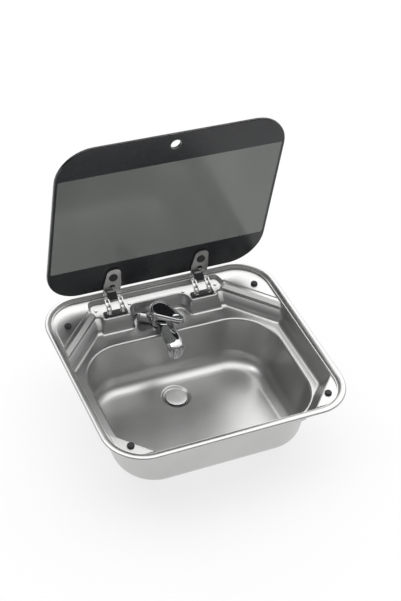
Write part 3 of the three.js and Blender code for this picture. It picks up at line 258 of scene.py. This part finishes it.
BOWL_HALF, BOWL_FRONT, BOWL_BACK, BOWL_RADIUS = 171, -151, 89.5, 74
BOWL_LIP, BOWL_TAPER, BOWL_FILLET = 4.5, 6, 30
DRAIN = (-7, 28)
DISH_RADIUS, DISH_FLAT, DISH_DEPTH = 26.5, 20, 3.5
TAP = (-7, 121)
ABOVE, OVERLAP = 12, 2                 # how far the open spaces reach above the rim and into each other
RIM_STEPS, WALL_STEPS, BOWL_STEPS = 24, 8, 28                   # in the rounding of one corner
ROLL_STEPS, DISH_STEPS = 20, 8
DISH_SIDES, ROD_SIDES, HOLE_SIDES = 96, 64, 48
SHARE_OF_SIDE = 0.96                   # most of a side that its two corner roundings take
LEAST_RADIUS = 0.4
CORNER_SHIFT = 0.4                     # share of an inset by which a slanting wall's corner moves
SAME_POINT = 0.0000005                 # metres


def between(low, high, part):
    return low + (high - low) * part


def rectangle(half, front, back, radius):
    return [(-half, front, radius), (half, front, radius), (half, back, radius), (-half, back, radius)]


def mirrored(half):
    return half + [(-x, y, r) for x, y, r in reversed(half)]


def rounded_outline(corners, steps):
    """Corners (x, y, radius) of a counter-clockwise outline, each rounded with the same steps."""
    spots = [Vector((x, y)) for x, y, _ in corners]
    count = len(spots)

    def toward(i, j):
        return (spots[j] - spots[i]).normalized()

    def half_angle(i):
        return math.acos(max(-1, min(1, toward(i, i - 1).dot(toward(i, (i + 1) % count))))) / 2

    halves = [half_angle(i) for i in range(count)]
    wanted = [corners[i][2] / math.tan(halves[i]) for i in range(count)]

    def room(i, j):
        return min(1.0, SHARE_OF_SIDE * (spots[i] - spots[j]).length / (wanted[i] + wanted[j]))

    points = []
    for i in range(count):
        scale = min(room(i, i - 1), room(i, (i + 1) % count))
        back, on = toward(i, i - 1), toward(i, (i + 1) % count)
        centre = spots[i] + (back + on).normalized() * (corners[i][2] * scale / math.sin(halves[i]))
        start = spots[i] + back * wanted[i] * scale - centre
        end = spots[i] + on * wanted[i] * scale - centre
        first = math.atan2(start.y, start.x)
        sweep = (math.atan2(end.y, end.x) - first + math.pi) % (2 * math.pi) - math.pi
        for k in range(steps + 1):
            a = first + sweep * k / steps
            points.append(centre + Vector((math.cos(a), math.sin(a))) * start.length)
    return points


def grown(corners, amount):
    """Every side of the outline moved outwards, its roundings kept concentric."""
    moved = []
    for i, (x, y, r) in enumerate(corners):
        before, after = corners[i - 1], corners[(i + 1) % len(corners)]
        into = Vector((x - before[0], y - before[1])).normalized()
        out = Vector((after[0] - x, after[1] - y)).normalized()
        normal_in, normal_out = Vector((into.y, -into.x)), Vector((out.y, -out.x))
        mitre = (normal_in + normal_out) * (amount / (1 + normal_in.dot(normal_out)))
        bend = into.x * out.y - into.y * out.x
        moved.append((x + mitre.x, y + mitre.y, max(r + math.copysign(amount, bend), LEAST_RADIUS)))
    return moved


def ring_at(corners, z, steps):
    return [(p.x, p.y, z) for p in rounded_outline(corners, steps)]


def circle_at(centre, radius, z, steps):
    return [(centre[0] + radius * math.cos(2 * math.pi * i / steps),
             centre[1] + radius * math.sin(2 * math.pi * i / steps), z) for i in range(steps)]


def solid_from(name, rings, hoop=False):
    """Closed body through rings of equal point count, capped or, as a hoop, joined end to end."""
    count = len(rings[0])
    faces = []
    for r in range(len(rings) if hoop else len(rings) - 1):
        low, high = r * count, (r + 1) % len(rings) * count
        for i in range(count):
            j = (i + 1) % count
            faces.append((low + i, low + j, high + j, high + i))
    if not hoop:
        faces.append(tuple(range(count))[::-1])
        faces.append(tuple(range((len(rings) - 1) * count, len(rings) * count)))
    mesh = bpy.data.meshes.new(name)
    mesh.from_pydata([tuple(c * MM for c in p) for ring in rings for p in ring], [], faces)
    bm = bmesh.new()
    bm.from_mesh(mesh)
    bmesh.ops.remove_doubles(bm, verts=bm.verts, dist=SAME_POINT)
    bmesh.ops.recalc_face_normals(bm, faces=bm.faces)
    bm.to_mesh(mesh)
    bm.free()
    body = bpy.data.objects.new(name, mesh)
    scene.collection.objects.link(body)
    return body


def rod(name, centre, radius, low, high, steps=ROD_SIDES):
    return solid_from(name, [circle_at(centre, radius, z, steps) for z in (low, high)])


def joined(body, tool, kind):
    change = body.modifiers.new("join", "BOOLEAN")
    change.operation = kind
    change.solver = "MANIFOLD"
    change.object = tool
    depsgraph = bpy.context.evaluated_depsgraph_get()
    result = bpy.data.meshes.new_from_object(body.evaluated_get(depsgraph))
    body.modifiers.clear()
    body.data = result
    bpy.data.objects.remove(tool)
    return body


def rim_outline(across):
    """From the recess (0) to the outside of the rolled rim (1)."""
    return rectangle(RIM_HALF - ROLL_SIDE * (1 - across), RIM_FRONT_Y + ROLL_FRONT * (1 - across),
                     RIM_BACK_Y - ROLL_BACK * (1 - across), between(RECESS_RADIUS, RIM_RADIUS, across))


def back_chord_at(drop):
    for (high, start), (low, end) in zip(BACK_CHORDS, BACK_CHORDS[1:]):
        if drop <= low:
            return between(start, end, (drop - high) / (low - high))
    return BACK_CHORDS[-1][1]


def walls_at(drop, rolled):
    """Side, front, front chord and back chord of the walls at a depth."""
    down = (drop - LAND_DROP) / (LEDGE_DROP - LAND_DROP)
    root = math.sqrt(2)
    return (LAND_HALF - SIDE_LEAN * down, LAND_FRONT + SIDE_LEAN * down,
            FRONT_CHORD - root * (FRONT_LEAN * down - rolled), back_chord_at(drop) + root * rolled)


def deck_outline(drop, rolled, inset):
    side, front, front_chord, back_chord = walls_at(drop, rolled)
    down = (drop - LAND_DROP) / (DECK_DROP - LAND_DROP)
    back = DECK_BACK + DECK_BACK_LEAN * (1 - down) + rolled - inset
    tip = between(*TIP_BACK, down)
    return mirrored([
        (front_chord + front, front, CHORD_RADIUS),
        (side, side - front_chord, CHORD_RADIUS),
        (side, back_chord - side - inset, CHORD_RADIUS * 2),
        (back_chord - tip - inset * TIP_SHIFT, tip, TIP_RADIUS),
        (between(*TIP_X, down) - inset, LAND_TIP, TIP_RADIUS),
        (between(*NECK_X, down) - inset, back, NECK_RADIUS),
    ])


def ledge_outline(drop, rolled, inset):
    side, front, front_chord, back_chord = walls_at(drop, 0)
    run = BOSS_LEAN * (drop - DECK_DROP) / (LEDGE_DROP - DECK_DROP) + inset - rolled
    boss, scoop = BOSS_FRONT - run, SCOOP_BACK - run
    outer = HINGE_X + BOSS_HALF + run * BOSS_SPREAD
    inner = HINGE_X - BOSS_HALF - run * BOSS_SPREAD
    corner = back_chord - inset * math.sqrt(2)
    outside = min(BOSS_FRONT + BOSS_STEP - run, corner - outer - POCKET_FLAT)
    return mirrored([
        (front_chord + front - inset * CORNER_SHIFT, front + inset, CHORD_RADIUS),
        (side - inset, side - front_chord + inset * CORNER_SHIFT, CHORD_RADIUS),
        (side - inset, back_chord - side - inset * CORNER_SHIFT, CHORD_RADIUS * 2),
        (corner - outside, outside, POCKET_RADIUS),
        (outer, outside, POCKET_RADIUS),
        (outer, boss, BOSS_RADIUS),
        (inner, boss, BOSS_RADIUS + inset - rolled),
        (inner, scoop, SCOOP_RADIUS - inset + rolled),
    ])


def bowl_outline(inset):
    return rectangle(BOWL_HALF - inset, BOWL_FRONT + inset, BOWL_BACK - inset, BOWL_RADIUS - inset)


def quarter(steps):
    """Pairs (1 - sine, 1 - cosine) over a quarter turn, for the points of a fillet."""
    angles = (math.pi / 2 * i / steps for i in range(steps + 1))
    return [(1 - math.sin(a), 1 - math.cos(a)) for a in angles]


def pressed_space(thick):
    """Everything that the pressing leaves open; thick grows it to the outside of the sheet."""
    def ring(corners, drop, steps):
        return ring_at(grown(corners, thick), -drop - thick, steps)

    def top(corners, steps, z=ABOVE):
        return ring_at(grown(corners, thick), z, steps)

    def land(inset):
        half, front, back, radius = LAND_ISLAND
        return grown(rectangle(half - inset, front + inset, back - inset, radius - inset), -thick)

    groove = rectangle(LAND_HALF, LAND_FRONT, RIM_BACK_Y - ROLL_BACK - CREASE, RECESS_RADIUS - CREASE)
    whole = solid_from("groove", [ring(groove, GROOVE_DROP, RIM_STEPS), top(groove, RIM_STEPS)])
    raised = [ring_at(land(0), -GROOVE_DROP - LAND_ROOT, RIM_STEPS)]
    raised += [ring_at(land(LAND_ROUND * run), -LAND_DROP - thick - LAND_ROUND * rise, RIM_STEPS)
               for rise, run in quarter(5)]
    whole = joined(whole, solid_from("land", raised), "DIFFERENCE")

    recess = [ring(rim_outline(0), FLANGE_DROP, RIM_STEPS), top(rim_outline(0), RIM_STEPS)]

    deck = [ring(deck_outline(DECK_DROP, 0, DECK_FILLET * run), DECK_DROP - DECK_FILLET * rise, WALL_STEPS)
            for run, rise in quarter(6)]
    deck.append(ring(deck_outline(STEP_DROP, 0, 0), STEP_DROP, WALL_STEPS))
    deck += [ring(deck_outline(LAND_DROP, LAND_EDGE * rise, 0), LAND_DROP + LAND_EDGE * run, WALL_STEPS)
             for run, rise in quarter(5)]
    deck.append(top(deck_outline(LAND_DROP, LAND_EDGE, 0), WALL_STEPS))

    ledge = [ring(ledge_outline(LEDGE_DROP, 0, LEDGE_FILLET * run),
                  LEDGE_DROP - LEDGE_FILLET * rise, WALL_STEPS) for run, rise in quarter(9)]
    ledge.append(ring(ledge_outline(BEND_DROP, 0, 0), BEND_DROP, WALL_STEPS))
    ledge += [ring(ledge_outline(DECK_DROP, DECK_EDGE * rise, 0), DECK_DROP + DECK_EDGE * run, WALL_STEPS)
              for run, rise in quarter(7)]
    ledge.append(top(ledge_outline(DECK_DROP, DECK_EDGE, 0), WALL_STEPS, -DECK_DROP + OVERLAP))

    bowl = [ring(bowl_outline(BOWL_TAPER + BOWL_FILLET * run), BOWL_FLOOR - BOWL_FILLET * rise, BOWL_STEPS)
            for run, rise in quarter(14)]
    bowl += [ring(bowl_outline(-BOWL_LIP * rise), LEDGE_DROP + BOWL_LIP * run, BOWL_STEPS)
             for run, rise in quarter(7)]
    bowl.append(top(bowl_outline(-BOWL_LIP), BOWL_STEPS, -LEDGE_DROP + OVERLAP))

    dish = []
    for i in range(DISH_STEPS + 1):
        part = i / DISH_STEPS
        fall = DISH_DEPTH * (0.5 + 0.5 * math.cos(math.pi * part))
        dish.append((between(DISH_FLAT, DISH_RADIUS, part) + thick, -BOWL_FLOOR - fall - thick))
    dish.append((DISH_RADIUS + thick, -BOWL_FLOOR + OVERLAP))

    for rings in (recess, deck, ledge, bowl, [circle_at(DRAIN, r, z, DISH_SIDES) for r, z in dish]):
        whole = joined(whole, solid_from("space", rings), "UNION")
    return whole


def rolled_rim():
    def station(angle, thick):
        across = 0.5 - (0.5 - thick / ROLL_SIDE) * math.cos(angle)
        rise = ROLL_CROWN - between(-FLANGE_DROP, ROLL_LIP, 0.5) - thick
        z = between(-FLANGE_DROP, ROLL_LIP, across) + rise * math.sin(angle)
        return ring_at(rim_outline(across), z, RIM_STEPS)

    angles = [math.pi * i / ROLL_STEPS for i in range(ROLL_STEPS + 1)]
    over, under = [station(a, 0) for a in angles], [station(a, SHEET) for a in reversed(angles)]
    return solid_from("rim", over + under, True)


BUMPER_X, BUMPER_YS, BUMPER_HOLE = 171, (-146.5, 126.5), 2.7
RIVET_STEP, RIVET_Y, RIVET_HOLE = 30.2, 156, 2.3
FOOT_STEP, FOOT_Y, FOOT_HOLE = 12, 141.5, 2.7
TAP_HOLE, DRAIN_HOLE = 12, 15
LAND_CUT, DECK_CUT = (-DECK_DROP, 0), (-15.5, -11.5)            # low and high end of the cut
TAP_CUT, DRAIN_CUT = (-38, -34), (-136, -BOWL_FLOOR)


def holes():
    """Every hole in the sheet as (x, y, radius, low, high)."""
    places = [(BUMPER_X * side, y, BUMPER_HOLE, *LAND_CUT) for y in BUMPER_YS for side in (-1, 1)]
    for step, y, radius in ((RIVET_STEP, RIVET_Y, RIVET_HOLE), (FOOT_STEP, FOOT_Y, FOOT_HOLE)):
        places += [(HINGE_X * side + way * step, y, radius, *DECK_CUT)
                   for side in (-1, 1) for way in (-1, 1)]
    return places + [(*TAP, TAP_HOLE, *TAP_CUT), (*DRAIN, DRAIN_HOLE, *DRAIN_CUT)]


def pressed_shell():
    shell = pressed_space(SHEET)
    corner = RIM_HALF * 1.5
    trim = [(-corner, -corner), (corner, -corner), (corner, corner), (-corner, corner)]
    trim_rings = [[(x, y, z) for x, y in trim] for z in (-FLANGE_DROP + SHEET / 2, ABOVE * 2)]
    shell = joined(shell, solid_from("trim", trim_rings), "DIFFERENCE")
    shell = joined(shell, pressed_space(0), "DIFFERENCE")
    shell = joined(shell, rolled_rim(), "UNION")
    for x, y, radius, low, high in holes():
        shell = joined(shell, rod("hole", (x, y), radius, low, high, HOLE_SIDES), "DIFFERENCE")
    shell.name = shell.data.name = "pressed_shell"
    surfaced(shell, steel, weld=0.000002, flat=0.4, sharp=34)
    normals_evened(shell)
    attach(shell, "root")
    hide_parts("sink_shell")


# ---------------------------------------------------------------- chrome tap, in millimetres
# The rods SPOUT_RING, SPOUT_BORE, NECK, STEM_SOCKET, OUTLET and HEAD_HOLLOW are radius, low and high.
LEVER_TURN, ARM_TURN = 38, -111        # degrees to the right of the front
SPOUT = ((3, 12.6, -15.5, -24), (18, 13.4, -15.4, -25.5), (34, 14.2, -15.8, -28.5),
         (50, 14.6, -16.8, -31.5), (63, 14.6, -18.2, -34.5), (71.5, 14.2, -20.2, -36),
         (77, 12.4, -24.2, -36))       # ahead, half width, top, low
SIDE_ARM = ((4, 9, -24.4, -33.2), (16.6, 9.5, -24.2, -33.2), (23, 9.2, -19, -33.2),
            (34, 8.2, -16.8, -33), (38.5, 6, -18.6, -31.5))
SPOUT_RING, SPOUT_BORE, NECK = (15.4, -23.7, -15.6), (9.8, -40, -5), (9.5, -26, -11.3)
STEM_SOCKET, OUTLET, HEAD_HOLLOW = (11.3, -40, -29.1), (7.9, -52, -43.7), (14, -30, -7.9)
NOZZLE_AT, FLUTES, FLUTE_POWER = 68, 12, 1.5
NOZZLE = ((11.2, -48, 1.3), (12.0, -47, 1.8), (13.4, -36, 2.0),
          (13.8, -28, 1.8), (12.4, -24.5, 0.8))                 # radius, z, depth of the flutes
BASE = ((16.5, -33.2), (16.5, -30.8), (15.6, -29.6), (15.3, -24.2))      # radius, z
HEAD_RADIUS, TIP_END_RADIUS, HEAD_REACH, LEVER_SLOPE = 20.5, 8.6, 36, 3.4
TIP_SHARE = 0.8                        # of the head's margin that its tip takes
HEAD = ((-3.5, -12.2), (-1.2, -11.9), (0, -10.8), (0, -8.2), (-0.9, -5.6), (-2.4, -4.0),
        (-3.6, -3.5), (-4.8, -3.8), (-5.6, -4.8), (-6.4, -5.2))          # margin, z
DIMPLE_AT, DIMPLE_LONG, DIMPLE_WIDE, DIMPLE_Z, DIMPLE_TALL = 30, 7.2, 6.6, -5.4, 3.2


def from_tap(turn, ahead, across, z):
    """A point ahead of the tap's axis and across, turned to the right of the front."""
    a = math.radians(turn)
    return (TAP[0] + ahead * math.sin(a) + across * math.cos(a),
            TAP[1] - ahead * math.cos(a) + across * math.sin(a), z)


def faceted(name, turn, stations):
    """An arm of the tap with a ridge along its top, from stations (ahead, half width, top, low)."""
    rings = []
    for ahead, half, top, low in stations:
        tall = top - low
        waist, shoulder, brow = low + 0.3 * tall, top - 0.46 * tall, top - 0.2 * tall
        brow_half, foot_half = half * 0.64, half * 0.55
        section = [(half, waist), (half, shoulder), (brow_half, brow), (0, top), (-brow_half, brow),
                   (-half, shoulder), (-half, waist), (-foot_half, low), (foot_half, low)]
        rings.append([from_tap(turn, ahead, across, z) for across, z in section])
    return solid_from(name, rings)


def fluted(radius, z, depth, steps=96):
    ring = []
    for i in range(steps):
        a = 2 * math.pi * i / steps
        r = radius - depth * (0.5 - 0.5 * math.cos(FLUTES * a)) ** FLUTE_POWER
        ring.append((TAP[0] + r * math.cos(a), TAP[1] - NOZZLE_AT + r * math.sin(a), z))
    return ring


def teardrop(big, small, reach, z, steps=32):
    """Round head about the tap's axis that narrows to a round tip, sloping down toward it."""
    lean = math.asin((big - small) / reach)
    points = []
    for centre, radius, first, last in ((reach, small, math.pi / 2 - lean, lean - math.pi / 2),
                                        (0, big, lean - math.pi / 2, -1.5 * math.pi - lean)):
        for i in range(steps + 1):
            a = between(first, last, i / steps)
            ahead, across = centre + radius * math.cos(a), radius * math.sin(a)
            fall = math.tan(math.radians(LEVER_SLOPE)) * ahead
            points.append(from_tap(LEVER_TURN, ahead, across, z - fall))
    return points


def dimple(sides=40, levels=16):
    """Body of the thumb dimple in the lever's tip."""
    rings = []
    for i in range(1, levels):
        a = math.pi * i / levels
        around = (2 * math.pi * k / sides for k in range(sides))
        rings.append([from_tap(LEVER_TURN, DIMPLE_AT + DIMPLE_LONG * math.sin(a) * math.cos(b),
                               DIMPLE_WIDE * math.sin(a) * math.sin(b),
                               DIMPLE_Z - DIMPLE_TALL * math.cos(a)) for b in around])
    return solid_from("dimple", rings)


def chromed(piece, name, body, node, edge, edge_angle):
    piece.name = piece.data.name = name
    surfaced(piece, chrome, weld=0.000004, flat=0.5, sharp=50)
    edges_rounded(piece, edge, edge_angle, segments=3)
    normals_evened(piece)
    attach(piece, body)
    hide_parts(node)


def chrome_spout():
    nozzle = solid_from("nozzle", [fluted(radius, z, depth) for radius, z, depth in NOZZLE])
    body = joined(faceted("arm", 0, SPOUT), nozzle, "UNION")
    body = joined(body, rod("ring", TAP, *SPOUT_RING), "UNION")
    body = joined(body, rod("bore", TAP, *SPOUT_BORE), "DIFFERENCE")
    body = joined(body, rod("outlet", (TAP[0], TAP[1] - NOZZLE_AT), *OUTLET, HOLE_SIDES), "DIFFERENCE")
    chromed(body, "chrome_spout", "spout", "spout", 1.0, 24)


def chrome_base():
    body = solid_from("base", [circle_at(TAP, radius, z, ROD_SIDES) for radius, z in BASE])
    body = joined(body, rod("neck", TAP, *NECK), "UNION")
    body = joined(body, faceted("arm", ARM_TURN, SIDE_ARM), "UNION")
    body = joined(body, rod("socket", TAP, *STEM_SOCKET), "DIFFERENCE")
    chromed(body, "chrome_base", "root", "tap_body", 0.6, 24)


def chrome_lever():
    rings = [teardrop(HEAD_RADIUS + margin, TIP_END_RADIUS + margin * TIP_SHARE, HEAD_REACH, z)
             for margin, z in HEAD]
    body = joined(solid_from("head", rings), rod("hollow", TAP, *HEAD_HOLLOW), "DIFFERENCE")
    body = joined(body, dimple(), "DIFFERENCE")
    chromed(body, "chrome_lever", "lever", "lever_cap", 0.35, 30)


# ---------------------------------------------------------------- black enamel on the lid's inner face
LID_EDGE = Vector((0, 168, 20)) * MM          # hinged edge of the inner face, lid open
LID_TURN = math.radians(86)
LID_UP = Vector((0, -math.cos(LID_TURN), math.sin(LID_TURN)))
LID_OUT = Vector((0, -math.sin(LID_TURN), -math.cos(LID_TURN)))
PRINT_OUTSIDE = (195, 1, 317, 59, 14)         # half width, low, high, corner radius, corner steps
PRINT_WINDOW = (191, 62, 262, 3, 5)
PRINT_HOLES = (((0, 297), 9.6), ((-HINGE_X, 29), 5), ((HINGE_X, 29), 5))      # centre, radius
PRINT_HOLE_SIDES = 28
PRINT_GAP, PRINT_THICK = 0.04, 0.13


def rounded_loop(half, low, high, radius, steps):
    points = []
    for cx, cy, first in ((half - radius, high - radius, 0), (radius - half, high - radius, 90),
                          (radius - half, low + radius, 180), (half - radius, low + radius, 270)):
        for i in range(steps + 1):
            a = math.radians(first + 90 * i / steps)
            points.append((cx + radius * math.cos(a), cy + radius * math.sin(a)))
    return points


def lid_print():
    """The frame between the lid's outline and its window, x across and s up the lid."""
    loops = [rounded_loop(*PRINT_OUTSIDE), rounded_loop(*PRINT_WINDOW)]
    for centre, radius in PRINT_HOLES:
        loops.append([p[:2] for p in circle_at(centre, radius, 0, PRINT_HOLE_SIDES)])
    bm = bmesh.new()
    for loop in loops:
        verts = [bm.verts.new((x * MM, s * MM, 0)) for x, s in loop]
        for i, v in enumerate(verts):
            bm.edges.new((v, verts[(i + 1) % len(verts)]))
    bmesh.ops.triangle_fill(bm, edges=bm.edges[:], use_beauty=True)
    bmesh.ops.recalc_face_normals(bm, faces=bm.faces)
    made = bmesh.ops.extrude_face_region(bm, geom=bm.faces[:])
    for v in made["geom"]:
        if isinstance(v, bmesh.types.BMVert):
            v.co.z = PRINT_THICK * MM
    for v in bm.verts:
        x, s, h = v.co
        v.co = LID_EDGE + Vector((x, 0, 0)) + LID_UP * s + LID_OUT * (h + PRINT_GAP * MM)
    bmesh.ops.recalc_face_normals(bm, faces=bm.faces)
    mesh = bpy.data.meshes.new("lid_print")
    bm.to_mesh(mesh)
    bm.free()
    mesh.materials.append(enamel)
    piece = bpy.data.objects.new("lid_print", mesh)
    scene.collection.objects.link(piece)
    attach(piece, "lid")


# ---------------------------------------------------------------- dressed copies of the other CAD nodes
body_of_node = {n: b for b, ns in frame["record"]["behaviour"]["bodies"].items() for n in ns}
slot_of_node = {p["node"]: p["material_slot"] for p in frame["record"]["subparts"]}
REBUILT = ("sink_shell", "spout", "tap_body", "lever_cap")
EDGE = {"hinge_steel": 0.15, "black_plastic": 0.2, "tap_chrome": 0.3}    # width of a broken edge
DRESSED_SHARP = 32


def dressed(node):
    """A smooth-shaded piece with the node's own form and, where EDGE has its slot, broken edges."""
    slot = slot_of_node[node]
    mesh = frame["nodes"][node].data.copy()
    mesh.name = node + "_skin"
    piece = bpy.data.objects.new(mesh.name, mesh)
    scene.collection.objects.link(piece)
    # The plug gets the lighter copy of the steel, a painted highlight.
    material = plug_steel_painted_highlight if node == "plug" else SLOT_LOOK[slot]
    surfaced(piece, material, weld=0.000002, flat=0.6, sharp=DRESSED_SHARP)
    if slot in EDGE:
        edges_rounded(piece, EDGE[slot], DRESSED_SHARP, segments=2)
    normals_evened(piece)
    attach(piece, body_of_node[node])
    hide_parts(node)


pressed_shell()
chrome_spout()
chrome_base()
chrome_lever()
lid_print()
for node_name in slot_of_node:
    if node_name not in REBUILT:
        dressed(node_name)


# ---------------------------------------------------------------- stage and light
FLOOR_Z, FLOOR_SIZE = -131.0 * MM, 12
FLOOR_TONE, FLOOR_ROUGH = 0.93, 0.9
FLOOR_WHITE = 0.75                     # how far the floor is plain white where it is seen
SKY_AXIS = (0.22, 0.45, 0.865)         # the bright part of the sky lies up and to the back right
SKY = ((0.0, 0.09), (0.40, 0.10), (0.56, 0.24), (0.72, 0.88), (0.92, 1.0))   # along the axis, level
HORIZON = ((0.0, 1.0), (0.06, 1.0), (0.16, 0.0))                             # height, share of white
SKY_STRENGTH = 1.9
KEY_AT, KEY_SIZE, KEY_WATTS = Vector((-1.2, 0.4, 2.0)), 0.8, 5


def seen_directly(nodes, links):
    """1 for a ray from the camera, a mirror or a glass, else 0."""
    path = nodes.new("ShaderNodeLightPath")
    total = path.outputs["Is Camera Ray"]
    for kind in ("Is Glossy Ray", "Is Transmission Ray"):
        either = nodes.new("ShaderNodeMath")
        either.operation = "MAXIMUM"
        links.new(total, either.inputs[0])
        links.new(path.outputs[kind], either.inputs[1])
        total = either.outputs[0]
    return total


def make_floor():
    bpy.ops.mesh.primitive_plane_add(size=FLOOR_SIZE, location=(0, 0, FLOOR_Z))
    floor = bpy.context.object
    floor.name = "floor"
    mat, nodes, links, shader = new_material("floor_white")
    shader.inputs["Base Color"].default_value = (FLOOR_TONE,) * 3 + (1,)
    shader.inputs["Roughness"].default_value = FLOOR_ROUGH
    share = nodes.new("ShaderNodeMath")
    share.operation = "MULTIPLY"
    share.inputs[1].default_value = FLOOR_WHITE
    links.new(seen_directly(nodes, links), share.inputs[0])
    white = nodes.new("ShaderNodeEmission")
    mix = nodes.new("ShaderNodeMixShader")
    links.new(share.outputs[0], mix.inputs["Fac"])
    links.new(shader.outputs[0], mix.inputs[1])
    links.new(white.outputs[0], mix.inputs[2])
    links.new(mix.outputs[0], nodes["Material Output"].inputs["Surface"])
    floor.data.materials.append(mat)


def graded(nodes, links, value, levels):
    """Grey ramp through (place, level) pairs."""
    ramp = nodes.new("ShaderNodeValToRGB")
    stops = ramp.color_ramp.elements
    stops.remove(stops[1])
    stops[0].position = levels[0][0]
    stops[0].color = (levels[0][1],) * 3 + (1,)
    for place, level in levels[1:]:
        stops.new(place).color = (level,) * 3 + (1,)
    links.new(value, ramp.inputs["Fac"])
    return ramp.outputs["Color"]


def make_sky():
    world = bpy.data.worlds.new("world")
    scene.world = world
    world.use_nodes = True
    nodes, links = world.node_tree.nodes, world.node_tree.links
    coord = nodes.new("ShaderNodeTexCoord")
    along = nodes.new("ShaderNodeVectorMath")
    along.operation = "DOT_PRODUCT"
    along.inputs[1].default_value = SKY_AXIS
    links.new(coord.outputs["Generated"], along.inputs[0])
    axes = nodes.new("ShaderNodeSeparateXYZ")
    links.new(coord.outputs["Generated"], axes.inputs[0])
    mix = nodes.new("ShaderNodeMix")
    mix.data_type = "RGBA"
    colour_a, colour_b, colour_out = mix.inputs[6], mix.inputs[7], mix.outputs[2]
    links.new(graded(nodes, links, axes.outputs["Z"], HORIZON), mix.inputs["Factor"])
    links.new(graded(nodes, links, along.outputs["Value"], SKY), colour_a)
    colour_b.default_value = (1 / SKY_STRENGTH,) * 3 + (1,)
    studio = nodes["Background"]
    links.new(colour_out, studio.inputs["Color"])
    studio.inputs["Strength"].default_value = SKY_STRENGTH


def make_key_light():
    light = bpy.data.lights.new("key", "AREA")
    light.shape = "RECTANGLE"
    light.size = light.size_y = KEY_SIZE
    light.energy = KEY_WATTS
    lamp = bpy.data.objects.new("key", light)
    lamp.location = KEY_AT
    lamp.rotation_euler = (-KEY_AT).to_track_quat("-Z", "Y").to_euler()
    scene.collection.objects.link(lamp)


make_floor()
make_sky()
make_key_light()
